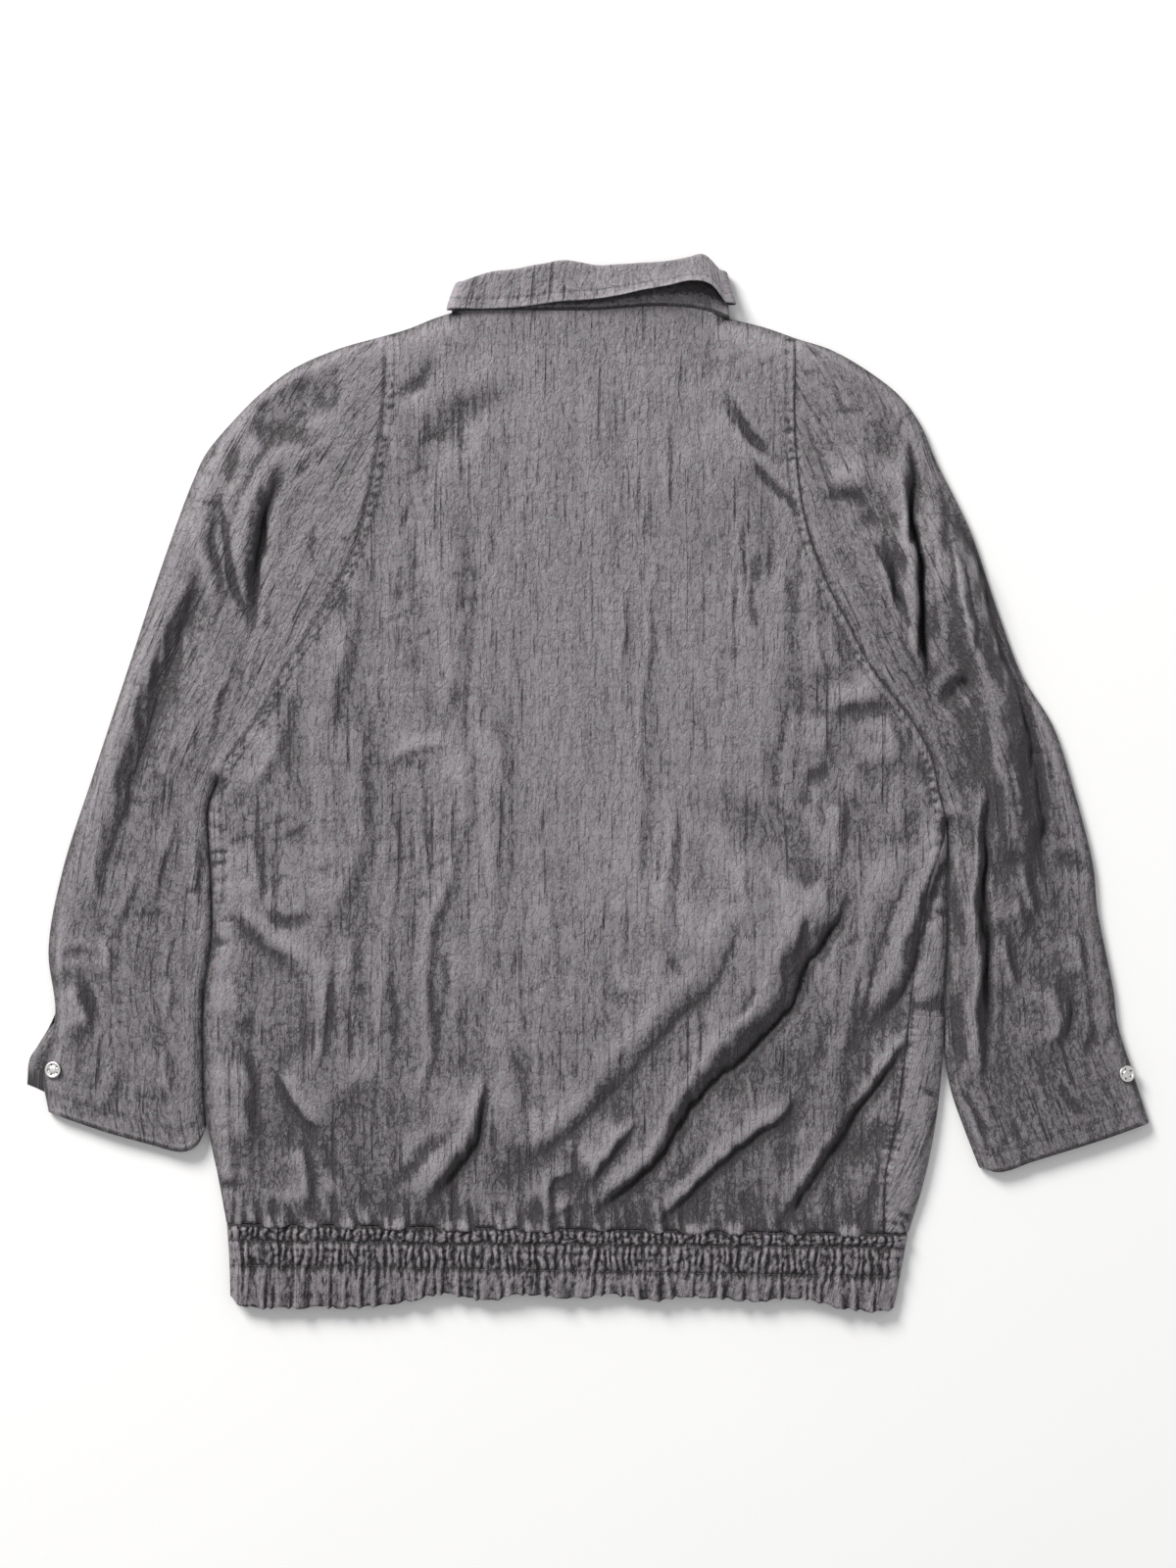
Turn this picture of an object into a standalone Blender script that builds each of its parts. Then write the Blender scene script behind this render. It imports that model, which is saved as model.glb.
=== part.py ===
"""A crinkled windbreaker jacket laid flat on its front, with its back panel uppermost.

Frame: X runs across the jacket with the wearer's right at +X, Y runs from the hem to the collar
and Z points up. The origin is on the resting plane, under the middle of the laid jacket.
Every size is in millimetres until a mesh is made.
"""

import math

import bmesh
import bpy
import numpy as np

MM = 0.001

# Cloth, seams and layers
WALL = 1.2
SEAM_SHIFT = 0.2
LAYER_GAP = 0.3
POCKET_WALL = 1.0

# Section of the laid cloth: a folded edge lies EDGE_LEVEL up and rounds off over these distances
EDGE_LEVEL = 3.5
TOP_ROUND = 13.0
UNDER_ROUND = 4.0
BODY_HEIGHT = 11.0
NECK_HEIGHT = 9.6
WAIST_HEIGHT = 10.4
CUFF_HEIGHT = 9.4
LEAST_HEIGHT = 8.4
MOST_HEIGHT = 23.0

# Crown of the cloth: how far in X, Y or from the neck each height blends into the next
SLEEVE_BLEND = {"from": 250.0, "over": 110.0}
WAIST_BLEND = 60.0
NECK_BLEND = {"half_width": 85.0, "over": 70.0}
FOLD_AT_WAIST = {"share": 0.12, "over": 26.0}
ARMHOLE_BLEND = 40.0

# Waist seam: its height in Y under the left edge and at the right one, how it slopes between
# them, and its X at the left edge, the right side seam and the right edge
WAIST_Y = -322.6
WAIST_RIGHT_Y = -330.3
WAIST_SLOPE = -0.0155
WAIST_LEFT_X = -265.0
WAIST_SEAM_X = 219.0
WAIST_RIGHT_X = 236.0

# Side edges of the body below the underarm, as (y, edge x)
LEFT_SIDE = [
    (WAIST_Y, -265.0), (-290.0, -271.0), (-250.0, -279.0), (-205.0, -281.5), (-160.0, -281.5),
    (-115.0, -275.5), (-70.0, -276.0), (-17.0, -278.0), (2.0, -271.0),
]
# The same on the right, as (y, edge x, side seam x): the front wraps over the edge to the seam
RIGHT_SIDE = [
    (WAIST_RIGHT_Y, 236.0, 219.0), (-290.0, 248.0, 220.0), (-250.0, 256.0, 228.0),
    (-205.0, 261.0, 234.0), (-160.0, 263.0, 239.0), (-115.0, 265.5, 244.0),
    (-70.0, 265.0, 253.0), (-28.0, 265.0, 264.9),
]
# Armhole seams from the underarm to the shoulder, as (y, left x, right x at its own y)
LEFT_ARMHOLE = [
    (19.0, -264.0), (35.0, -252.0), (58.0, -237.0), (83.0, -224.0), (112.0, -205.0), (169.0, -173.0),
    (235.0, -156.0), (288.0, -149.0), (330.0, -148.0),
]
RIGHT_ARMHOLE = [
    (-4.0, 259.0), (20.0, 254.0), (43.0, 242.0), (65.0, 226.0), (89.0, 208.0), (118.0, 193.0),
    (151.0, 176.0), (199.0, 160.5), (254.0, 154.0), (328.0, 154.0),
]
UNDERARM_Y = {"left": 2.0, "right": -28.0}

# Shoulder line with the back neck seam, and the front neckline under it, as (x, y)
SHOULDER_LEFT_X = -148.0
SHOULDER_LEFT_Y = 330.0
SHOULDER_RIGHT_X = 154.0
SHOULDER_RIGHT_Y = 328.0
NECK_LEFT_X = -97.0
NECK_RIGHT_X = 103.0
BACK_TOP = [
    (-148.0, 330.0), (-131.0, 335.0), (-111.0, 343.0), (-97.0, 347.0), (-75.0, 348.0), (4.0, 348.0),
    (51.0, 351.0), (81.0, 349.0), (103.0, 343.0), (131.0, 336.0), (154.0, 328.0),
]
FRONT_NECK = [
    (-97.0, 347.0), (-82.0, 330.0), (-55.0, 312.0), (3.0, 298.0), (60.0, 311.0), (87.0, 328.0), (103.0, 343.0),
]
CENTRE_X = 3.0

# Sleeve edges from the shoulder or underarm down to the cuff, and the cuff edge, as (x, y)
SLEEVES = {
    "left": {
        "outer": [
            (-148, 330), (-183, 320), (-215, 306), (-238, 289), (-262, 265), (-280, 243), (-290, 222),
            (-312, 162), (-337, 86), (-363, 7), (-386, -65), (-396, -122), (-391, -168),
            (-397, -202), (-400, -216), (-396, -241),
        ],
        "inner": [
            (-271, 2), (-279.5, -17), (-279.5, -50), (-278.6, -85), (-278.8, -115), (-284.2, -150),
            (-284.4, -200), (-283.5, -235), (-280, -252),
        ],
        "cuff": [(-396, -241), (-355, -255), (-323, -264), (-297, -270), (-287, -266), (-280, -252)],
        "at_underarm": 0.52,
        "flap": (-16.0, 20.0),
    },
    "right": {
        "outer": [
            (154, 328), (181, 319), (210, 302), (231, 285), (246, 264), (257, 238), (282, 187),
            (303, 126), (320, 81), (343, 43), (358, -2), (373, -61), (376, -92), (388, -153),
            (391, -177), (402, -212), (414, -249),
        ],
        "inner": [
            (265, -28), (267.5, -58), (268.6, -94), (268.8, -122), (267, -151), (267.2, -173),
            (266, -199), (268, -225), (278, -254), (289, -282),
        ],
        "cuff": [(414, -249), (380, -261), (329, -277), (304, -285), (289, -282)],
        "at_underarm": 0.57,
        "flap": (0.0, 0.0),
    },
}
FLAP_REACH = 45.0
SLIT_REACH = 30.0
SLIT_ONSET = 4.0
# Rows down a sleeve from the underarm to the top of its cuff slit and from there to the cuff
SLEEVE_ROWS = {"upper": 8, "slit": 4}
SLIT_SHARE = 0.77
SLEEVE_MIDDLE = {"top": 5, "under": 2}
FULL_STEPS_WIDTH = 70.0

# Front overlap down the centre, and the lift that its two layers and the neckline need
OVERLAP = 15.0
SNAP_HEIGHT = 1.7
FRONT_LIFT = SNAP_HEIGHT + LAYER_GAP
LIFT_FADE = 24.0
LIFT_MARGIN = 2.5
LIFT_HALF_WIDTH = 92.0

# Patch pockets on the fronts: mouth height, waist end and width from the folded edge
POCKET_MOUTH_Y = -165.0
POCKET_WIDTH = 128.0
LEFT_POCKET = {"inner_x": -128.0, "outer_x": -250.0}
POCKET_FADE = 14.0

# Strip kept beside the right armhole for the columns that wrap over the folded edge below it
LEAST_WRAP = 2.4
WRAP_STEPS = (0.15, 0.45, 1.0)

# Folds of the laid cloth. Each row: path of (x, y) points, height (+ ridge, - trough),
# width on the path's left, width on its right, and the pieces that it shapes
FOLDS = [
    ([(-73, -207), (-80, -250), (-101, -284), (-121, -320)], 8.0, 22.0, 13.0, "body"),
    ([(-101, -284), (-90, -318)], 4.0, 13.0, 12.0, "body"),
    ([(179, -72), (150, -130), (102, -200), (53, -270), (7, -317)], 9.0, 15.0, 30.0, "body"),
    ([(156, -228), (124, -257), (78, -298), (41, -325)], 7.0, 13.0, 20.0, "body"),
    ([(233, -192), (200, -232), (160, -286), (130, -323)], 8.0, 14.0, 18.0, "body"),
    ([(272, -30), (246, -76), (213, -144), (197, -189)], 7.0, 14.0, 16.0, "body"),
    ([(244, -108), (238, -152), (205, -186)], -3.0, 13.0, 13.0, "body"),
    ([(-226, -214), (-203, -250), (-192, -276), (-188, -302)], -2.6, 14.0, 14.0, "body"),
    ([(-250, -190), (-232, -250), (-222, -300)], 4.0, 14.0, 16.0, "body"),
    ([(41, -245), (4, -286), (-33, -315)], 4.5, 13.0, 13.0, "body"),
    ([(103, -92), (80, -146), (27, -207), (-42, -288)], -2.6, 22.0, 20.0, "body"),
    ([(60, -60), (46, -140), (-6, -214), (-62, -280)], 3.6, 22.0, 20.0, "body"),
    ([(100, 274), (132, 245), (153, 201)], 4.0, 15.0, 14.0, "all"),
    ([(138, 187), (134, 79), (145, -36)], -2.4, 18.0, 14.0, "body"),
    ([(165, 130), (168, 60), (180, -20)], 3.6, 18.0, 16.0, "body"),
    ([(-179, 130), (-183, 72), (-188, 7)], -2.2, 15.0, 14.0, "body"),
    ([(-210, 70), (-216, 20), (-214, -40)], 3.4, 16.0, 16.0, "body"),
    ([(-85, 151), (-89, 72), (-96, 0)], 3.0, 20.0, 18.0, "body"),
    ([(-147, 9), (-124, 22), (-101, 27)], 3.0, 12.0, 12.0, "body"),
    ([(-262, -84), (-242, -97), (-224, -114), (-200, -134)], 4.5, 13.0, 14.0, "body"),
    ([(-191, -119), (-191, -202)], -2.4, 14.0, 14.0, "body"),
    ([(-150, -60), (-152, -150), (-146, -250)], 3.0, 20.0, 22.0, "body"),
    ([(219, 64), (226, 30), (222, -10)], 3.4, 12.0, 13.0, "body"),
    ([(-277, 236), (-270, 195), (-258, 145), (-244, 112)], 8.0, 13.0, 16.0, "left"),
    ([(-262, 225), (-252, 180), (-240, 144)], -2.4, 12.0, 12.0, "left"),
    ([(-246, 278), (-210, 298), (-178, 309)], -2.0, 14.0, 14.0, "left"),
    ([(-277, 221), (-310, 116), (-337, 29), (-370, -94)], -2.4, 16.0, 16.0, "left"),
    ([(-296, 120), (-312, 30), (-330, -60), (-345, -150)], 5.0, 20.0, 22.0, "left"),
    ([(-290, 20), (-300, -80), (-305, -190)], 3.2, 15.0, 16.0, "left"),
    ([(-352, -150), (-350, -200), (-344, -250)], 3.0, 18.0, 18.0, "left"),
    ([(229, 266), (235, 213), (246, 153), (244, 100), (257, 51)], 9.0, 18.0, 13.0, "right"),
    ([(167, 220), (190, 214), (207, 190), (228, 160)], -2.2, 14.0, 14.0, "right"),
    ([(253, 217), (281, 169), (298, 107), (321, 43), (335, -24)], -2.6, 14.0, 14.0, "right"),
    ([(262, 130), (276, 60), (284, 0)], 5.0, 16.0, 16.0, "right"),
    ([(284, 4), (290, -60), (291, -130), (283, -231)], 6.0, 12.0, 16.0, "right"),
    ([(325, 20), (338, -60), (346, -130), (352, -200)], 5.0, 20.0, 22.0, "right"),
    ([(315, -90), (322, -180), (318, -255)], 3.6, 15.0, 16.0, "right"),
]
FOLD_END = 0.22
LEAST_FOLD = 0.15

# Grid of the back: columns across and rows up, between the named lines
EDGE_STEPS = [1.2, 4.5, 10.0]
CLEAR_OF_EDGE = 0.7
# Rims on both sides of a seam are split the same way, by their points' order along this direction
RIM_ORDER = np.array([0.31, 0.94, 0.12])
BACK_COLUMNS = {"left": 4, "neck": 20, "right": 4}
FRONT_COLUMNS = {"left": [1, 2, 3, 2, 1], "right": [1, 2, 3, 1]}
# Columns of the fronts that run through, as shares of a front's width above its pocket
FRONT_SHARES = {"left": {"inner": 0.54, "outer": 0.86}, "right": {"inner": 0.52, "low": 0.74}}
LAP_WIDTH = 2.0 * OVERLAP + 2.0
ROW_SPANS = {"pocket": 8, "side": 7, "between": 1, "armhole": 10}

# Waistband rows, as (y at left, y at right, top height, gather height, ruffle height, hem waviness)
WAIST_ROWS = [
    (-323.0, -330.6, 10.4, 0.0, 0.0, 0.0),
    (-329.0, -335.8, 12.4, 0.9, 0.0, 0.0),
    (-335.5, -341.0, 9.7, 0.6, 0.0, 0.0),
    (-344.5, -351.5, 12.4, 0.9, 0.2, 0.0),
    (-353.5, -362.0, 9.6, 0.4, 0.6, 0.0),
    (-380.0, -386.0, 10.4, 0.0, 2.1, 1.0),
]
RUFFLE_WAVES = 46
WAVE_STEPS = (1.0, -0.9, 0.1)
BAND_ROUND = 9.0
BAND_UNDER_EDGE = 12.0
WAVE_DRIFT = 0.5
WAVE_FADE = 3.0
BAND_WALL = 1.3
BAND_EDGES = {"left": [(-322.6, -265.0), (-353.0, -263.0), (-381.0, -262.0)],
              "right": [(-330.3, 236.0), (-359.0, 230.5), (-386.0, 224.0)]}
BAND_UNDER_STEPS = 7
BAND_END_GAP = 1.5
HEM_SWING = 1.9
HEM_WAVE = 0.9

# Collar round the neck, as (x, fold height above the seam, fall width, lift of the fall's edge)
COLLAR_BACK = [
    (-97.0, 22.0, 18.0, 1.0), (-80.0, 27.0, 24.0, 1.0), (-52.0, 31.0, 27.0, 2.0),
    (-18.0, 36.5, 28.0, 4.0), (8.0, 32.5, 23.0, 7.0), (25.0, 32.0, 20.5, 9.0),
    (61.0, 33.0, 17.0, 14.0), (79.0, 37.0, 16.0, 15.0), (93.0, 42.0, 20.0, 12.0), (103.0, 34.0, 22.0, 5.0),
]
COLLAR_FRONT_FOLD = 27.0
COLLAR_FRONT_FALL = 24.0
COLLAR_TURN = {"front": FRONT_LIFT, "back": 3.4}
COLLAR_SIDE = 2.4
COLLAR_BLEND = 40.0
COLLAR_TURN_STEPS = 6
COLLAR_WALL_STEPS = {"fold": 4, "fall": 3}
COLLAR_LEFT_LEAN = 0.115
COLLAR_RIGHT_LEAN = -0.05
COLLAR_LEAN_POWER = 1.3

# Press snaps
SNAP_RADIUS = 6.2
SNAP_SIDES = 10
# Cap from its base over the rolled rim and the dished face to the centre stud, as (radius, height)
SNAP_PROFILE = [
    (SNAP_RADIUS - 0.5, 0.0), (SNAP_RADIUS, 0.5 * SNAP_HEIGHT), (SNAP_RADIUS - 0.7, SNAP_HEIGHT),
    (SNAP_RADIUS - 1.9, 0.7 * SNAP_HEIGHT), (2.6, 0.55 * SNAP_HEIGHT), (2.1, 0.9 * SNAP_HEIGHT),
]
CUFF_SNAPS = {"left": (-391.5, -210.0), "right": (396.5, -213.0)}
FRONT_SNAPS = 6
FRONT_SNAP_TOP_Y = 268.0
FRONT_SNAP_BOTTOM_Y = -290.0

# Finishes, as (colour, roughness, metallic)
FINISHES = {
    "cloth": ((0.175, 0.165, 0.175, 1.0), 0.55, 0.0),
    "band": ((0.120, 0.112, 0.120, 1.0), 0.60, 0.0),
    "chrome": ((0.80, 0.80, 0.82, 1.0), 0.20, 1.0),
}


def smooth_line(rows, count=360):
    """A centripetal Catmull-Rom curve through rows, as count points evenly spaced along it."""
    points = np.asarray(rows, float)
    first = 2.0 * points[0] - points[1]
    last = 2.0 * points[-1] - points[-2]
    points = np.vstack([first, points, last])
    dense = []
    for p0, p1, p2, p3 in zip(points[:-3], points[1:-2], points[2:-1], points[3:]):
        t1 = math.sqrt(np.linalg.norm(p1 - p0))
        t2 = t1 + math.sqrt(np.linalg.norm(p2 - p1))
        t3 = t2 + math.sqrt(np.linalg.norm(p3 - p2))
        t = np.linspace(t1, t2, 32, endpoint=False)[:, None]
        a1 = (t1 - t) / t1 * p0 + t / t1 * p1
        a2 = (t2 - t) / (t2 - t1) * p1 + (t - t1) / (t2 - t1) * p2
        a3 = (t3 - t) / (t3 - t2) * p2 + (t - t2) / (t3 - t2) * p3
        b1 = (t2 - t) / t2 * a1 + t / t2 * a2
        b2 = (t3 - t) / (t3 - t1) * a2 + (t - t1) / (t3 - t1) * a3
        dense.append((t2 - t) / (t2 - t1) * b1 + (t - t1) / (t2 - t1) * b2)
    dense.append(points[-2][None, :])
    dense = np.vstack(dense)
    return along(dense, np.linspace(0.0, 1.0, count))


def along(line, fractions):
    """Points at the given fractions of a line's length."""
    steps = np.linalg.norm(np.diff(line, axis=0), axis=1)
    length = np.concatenate([[0.0], np.cumsum(steps)])
    wanted = np.asarray(fractions) * length[-1]
    columns = [np.interp(wanted, length, line[:, k]) for k in range(line.shape[1])]
    return np.stack(columns, axis=-1)


def smooth_step(value):
    """0 below 0, 1 above 1 and a smooth rise between."""
    value = np.clip(value, 0.0, 1.0)
    return value * value * (3.0 - 2.0 * value)


def quarter_round(value):
    """Height of a quarter ellipse, 0 at its edge and 1 from value 1 on."""
    short = 1.0 - np.clip(value, 0.0, 1.0)
    return np.sqrt(1.0 - short * short)


def side_line(name, column=1):
    """The body's boundary from the waist to the shoulder as (y, x): edge or seam, then armhole."""
    side = LEFT_SIDE if name == "left" else RIGHT_SIDE
    armhole = LEFT_ARMHOLE if name == "left" else RIGHT_ARMHOLE
    rows = [(row[0], row[column]) for row in side] + list(armhole)
    return smooth_line(rows)


LEFT_LINE = side_line("left")
RIGHT_LINE = side_line("right")
SEAM_LINE = side_line("right", 2)
BACK_TOP_LINE = smooth_line(BACK_TOP)
FRONT_NECK_LINE = smooth_line(FRONT_NECK)
SLEEVE_LINES = {
    side: {edge: smooth_line(lines[edge]) for edge in ("outer", "inner", "cuff")}
    for side, lines in SLEEVES.items()
}


def left_x(y):
    return np.interp(y, LEFT_LINE[:, 0], LEFT_LINE[:, 1])


def right_x(y):
    return np.interp(y, RIGHT_LINE[:, 0], RIGHT_LINE[:, 1])


def seam_x(y):
    return np.interp(y, SEAM_LINE[:, 0], SEAM_LINE[:, 1])


def waist_y(x):
    return WAIST_Y + WAIST_SLOPE * (x - WAIST_LEFT_X)


def back_top_y(x):
    return np.interp(x, BACK_TOP_LINE[:, 0], BACK_TOP_LINE[:, 1])


def front_top_y(x):
    neckline = np.interp(x, FRONT_NECK_LINE[:, 0], FRONT_NECK_LINE[:, 1])
    inside = (x > NECK_LEFT_X) & (x < NECK_RIGHT_X)
    return np.where(inside, neckline, back_top_y(x))


def silhouette_lines():
    """Every folded edge of the laid jacket: shoulders, body sides, and both edges of each sleeve."""
    lines = []
    shoulder = BACK_TOP_LINE
    lines.append(shoulder[shoulder[:, 0] <= NECK_LEFT_X])
    lines.append(shoulder[shoulder[:, 0] >= NECK_RIGHT_X])
    for name, line in (("left", LEFT_LINE), ("right", RIGHT_LINE)):
        below = line[line[:, 0] <= UNDERARM_Y[name] + 0.01]
        lines.append(below[:, ::-1])
        lines.append(SLEEVE_LINES[name]["outer"])
        lines.append(SLEEVE_LINES[name]["inner"])
        lines.append(smooth_line([(x, y) for y, x in BAND_EDGES[name]], 20))
    return lines


def edge_distance(x, y, lines):
    """Distance in plan from each point to the nearest of the lines."""
    points = np.stack([x, y], axis=-1).reshape(-1, 2)
    best = np.full(len(points), 1e9)
    for line in lines:
        for start, end in zip(line[:-1:3], np.vstack([line[3::3], line[-1:]])):
            span = end - start
            length = float(span @ span)
            if length < 1e-12:
                continue
            t = np.clip((points - start) @ span / length, 0.0, 1.0)
            gap = points - start - t[:, None] * span
            best = np.minimum(best, np.hypot(gap[:, 0], gap[:, 1]))
    return best.reshape(np.shape(x))


SILHOUETTE = silhouette_lines()


def fold_height(x, y, fold):
    """Height that one fold adds: a soft ridge or trough along its path, fading at both ends."""
    path, height, left_width, right_width, _ = fold
    line = smooth_line(path, 25)
    best = np.full(np.shape(x), 1e9)
    value = np.zeros(np.shape(x))
    pieces = len(line) - 1
    for k in range(pieces):
        start = line[k]
        span = line[k + 1] - start
        t = ((x - start[0]) * span[0] + (y - start[1]) * span[1]) / float(span @ span)
        t = np.clip(t, 0.0, 1.0)
        gap_x = x - start[0] - t * span[0]
        gap_y = y - start[1] - t * span[1]
        gap = np.hypot(gap_x, gap_y)
        on_left = span[0] * gap_y - span[1] * gap_x > 0.0
        width = np.where(on_left, left_width, right_width)
        done = (k + t) / pieces
        fade = smooth_step(done / FOLD_END) * smooth_step((1.0 - done) / FOLD_END)
        fade = LEAST_FOLD + (1.0 - LEAST_FOLD) * fade
        here = height * fade * np.exp(-((gap / width) ** 2))
        closer = gap < best
        best = np.where(closer, gap, best)
        value = np.where(closer, here, value)
    return value


def crown_height(x, y, piece):
    """Height of the top cloth away from the folded edges."""
    outward = smooth_step((np.abs(x) - SLEEVE_BLEND["from"]) / SLEEVE_BLEND["over"])
    base = BODY_HEIGHT + (CUFF_HEIGHT - BODY_HEIGHT) * outward
    if piece == "body":
        base = WAIST_HEIGHT + (base - WAIST_HEIGHT) * smooth_step((y - waist_y(x)) / WAIST_BLEND)
    beside = np.maximum(np.abs(x - CENTRE_X) - NECK_BLEND["half_width"], 0.0)
    below = np.minimum(y - back_top_y(x), 0.0)
    neck = smooth_step(np.hypot(beside, below) / NECK_BLEND["over"])
    folds = np.zeros(np.shape(x))
    for fold in FOLDS:
        if fold[4] in ("all", piece):
            folds = folds + fold_height(x, y, fold)
    if piece == "body":
        share = FOLD_AT_WAIST["share"]
        folds = folds * (share + (1.0 - share) * smooth_step((y - waist_y(x)) / FOLD_AT_WAIST["over"]))
    height = NECK_HEIGHT + (base + folds - NECK_HEIGHT) * neck
    return np.clip(height, LEAST_HEIGHT, MOST_HEIGHT)


def top_height(x, y, piece):
    """Height of the upper cloth's outer face."""
    distance = edge_distance(x, y, SILHOUETTE)
    crown = crown_height(x, y, piece)
    if piece != "body":
        seam = armhole_blend(x, y, piece)
        crown = crown * seam + crown_height(x, y, "body") * (1.0 - seam)
    return EDGE_LEVEL + (crown - EDGE_LEVEL) * quarter_round(distance / TOP_ROUND)


def armhole_blend(x, y, side):
    """0 on the armhole seam and 1 from the blend's width into the sleeve."""
    line = LEFT_LINE if side == "left" else RIGHT_LINE
    seam = line[line[:, 0] >= UNDERARM_Y[side] - 0.01][:, ::-1]
    return smooth_step(edge_distance(x, y, [seam]) / ARMHOLE_BLEND)


def under_height(x, y):
    """Height of the under cloth's outer face, which rests flat away from the folded edges."""
    distance = edge_distance(x, y, SILHOUETTE)
    return EDGE_LEVEL * (1.0 - quarter_round(distance / UNDER_ROUND))


def front_lift(x, y, side):
    """How far a front stands off the surface: at the overlap, the neckline and its pocket."""
    overlap = smooth_step(1.0 - (np.abs(x - CENTRE_X) - OVERLAP - LIFT_MARGIN) / LIFT_FADE)
    at_waist = smooth_step((y - waist_y(x) - LIFT_MARGIN) / LIFT_FADE)
    below_neck = np.maximum(front_top_y(x) - y - LIFT_MARGIN, 0.0)
    beside = np.maximum(np.abs(x - CENTRE_X) - LIFT_HALF_WIDTH, 0.0)
    neckline = smooth_step(1.0 - np.hypot(below_neck, beside) / LIFT_FADE)
    lift = FRONT_LIFT * np.maximum(overlap * at_waist, neckline)
    if side == "left":
        across = smooth_step(1.0 - (x - LEFT_POCKET["inner_x"]) / POCKET_FADE)
        across = across * smooth_step(1.0 - (LEFT_POCKET["outer_x"] - x) / POCKET_FADE)
    else:
        across = smooth_step(1.0 - (right_x(y) - POCKET_WIDTH - x) / POCKET_FADE)
    up = smooth_step(1.0 - (y - POCKET_MOUTH_Y) / POCKET_FADE)
    lift = np.maximum(lift, (POCKET_WALL + LAYER_GAP) * across * up)
    if side == "right":
        under_lap = smooth_step(1.0 - (x - CENTRE_X - OVERLAP - LIFT_MARGIN) / LIFT_FADE)
        lift = lift + (WALL + LAYER_GAP) * under_lap
    return lift


# --- walls ------------------------------------------------------------------------------------


def split_cells(points, cells):
    """Each four-sided cell as two triangles, cut along its shorter diagonal."""
    triangles = []
    for cell in cells:
        if len(cell) == 3:
            triangles.append(cell)
            continue
        a, b, c, d = cell
        if np.linalg.norm(points[a] - points[c]) <= np.linalg.norm(points[b] - points[d]):
            triangles += [(a, b, c), (a, c, d)]
        else:
            triangles += [(a, b, d), (b, c, d)]
    return triangles


def point_normals(points, triangles):
    """Outward normals at the points, weighted by the faces' angles there."""
    normals = np.zeros_like(points)
    index = np.array(triangles)
    corners = points[index]
    face = np.cross(corners[:, 1] - corners[:, 0], corners[:, 2] - corners[:, 0])
    face = face / np.maximum(np.linalg.norm(face, axis=1, keepdims=True), 1e-12)
    for k in range(3):
        ahead = corners[:, (k + 1) % 3] - corners[:, k]
        behind = corners[:, (k + 2) % 3] - corners[:, k]
        ahead = ahead / np.maximum(np.linalg.norm(ahead, axis=1, keepdims=True), 1e-12)
        behind = behind / np.maximum(np.linalg.norm(behind, axis=1, keepdims=True), 1e-12)
        angle = np.arccos(np.clip((ahead * behind).sum(axis=1), -1.0, 1.0))
        np.add.at(normals, index[:, k], face * angle[:, None])
    return normals / np.maximum(np.linalg.norm(normals, axis=1, keepdims=True), 1e-12)


def rim_edges(triangles):
    """The edges that only one triangle uses, in that triangle's direction."""
    seen = {}
    for triangle in triangles:
        for start, end in zip(triangle, triangle[1:] + triangle[:1]):
            seen[(start, end)] = True
    return [edge for edge in seen if (edge[1], edge[0]) not in seen]


def make_object(name, points, triangles, finish):
    """A mesh object of its own material from points in millimetres."""
    mesh = bpy.data.meshes.new(name)
    shape = bmesh.new()
    corners = [shape.verts.new(tuple(float(c) * MM for c in point)) for point in points]
    for triangle in triangles:
        shape.faces.new([corners[k] for k in triangle])
    bmesh.ops.recalc_face_normals(shape, faces=shape.faces)
    shape.to_mesh(mesh)
    shape.free()
    mesh.shade_smooth()
    mesh.set_sharp_from_angle(angle=math.radians(50.0))
    colour, roughness, metallic = FINISHES[finish]
    material = bpy.data.materials.new(name)
    material.use_nodes = True
    shader = material.node_tree.nodes["Principled BSDF"]
    shader.inputs["Base Color"].default_value = colour
    shader.inputs["Roughness"].default_value = roughness
    shader.inputs["Metallic"].default_value = metallic
    mesh.materials.append(material)
    piece = bpy.data.objects.new(name, mesh)
    bpy.context.scene.collection.objects.link(piece)
    return piece


def make_wall(name, points, cells, wall, finish, known=None):
    """A closed wall: the outer points, the same moved inward by the wall, and the rim between."""
    points = np.asarray(points, float)
    triangles = split_cells(points, cells)
    normals = point_normals(points, triangles)
    if known is not None:
        mask, values = known
        normals[mask] = values[mask]
    inner = points - wall * normals
    count = len(points)
    faces = list(triangles)
    faces += [tuple(count + k for k in reversed(triangle)) for triangle in triangles]
    order = points @ RIM_ORDER
    for start, end in rim_edges(triangles):
        if order[start] < order[end]:
            faces += [(start, count + end, end), (start, count + start, count + end)]
        else:
            faces += [(start, count + start, end), (end, count + start, count + end)]
    return make_object(name, np.vstack([points, inner]), faces, finish)


def grid_cells(rows, columns, flip=False):
    """Four-sided cells of a grid whose points run row by row."""
    cells = []
    for i in range(rows - 1):
        for j in range(columns - 1):
            a = i * columns + j
            cell = (a, a + 1, a + columns + 1, a + columns)
            cells.append(tuple(reversed(cell)) if flip else cell)
    return cells


def slope_normals(height, x, y, sign):
    """Outward normals of a height field; sign is 1 for a face seen from above, -1 from below."""
    step = 0.5
    slope_x = (height(x + step, y) - height(x - step, y)) / (2.0 * step)
    slope_y = (height(x, y + step) - height(x, y - step)) / (2.0 * step)
    normal = np.stack([-slope_x * sign, -slope_y * sign, np.full(np.shape(x), float(sign))], axis=-1)
    return normal / np.linalg.norm(normal, axis=-1, keepdims=True)


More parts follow.
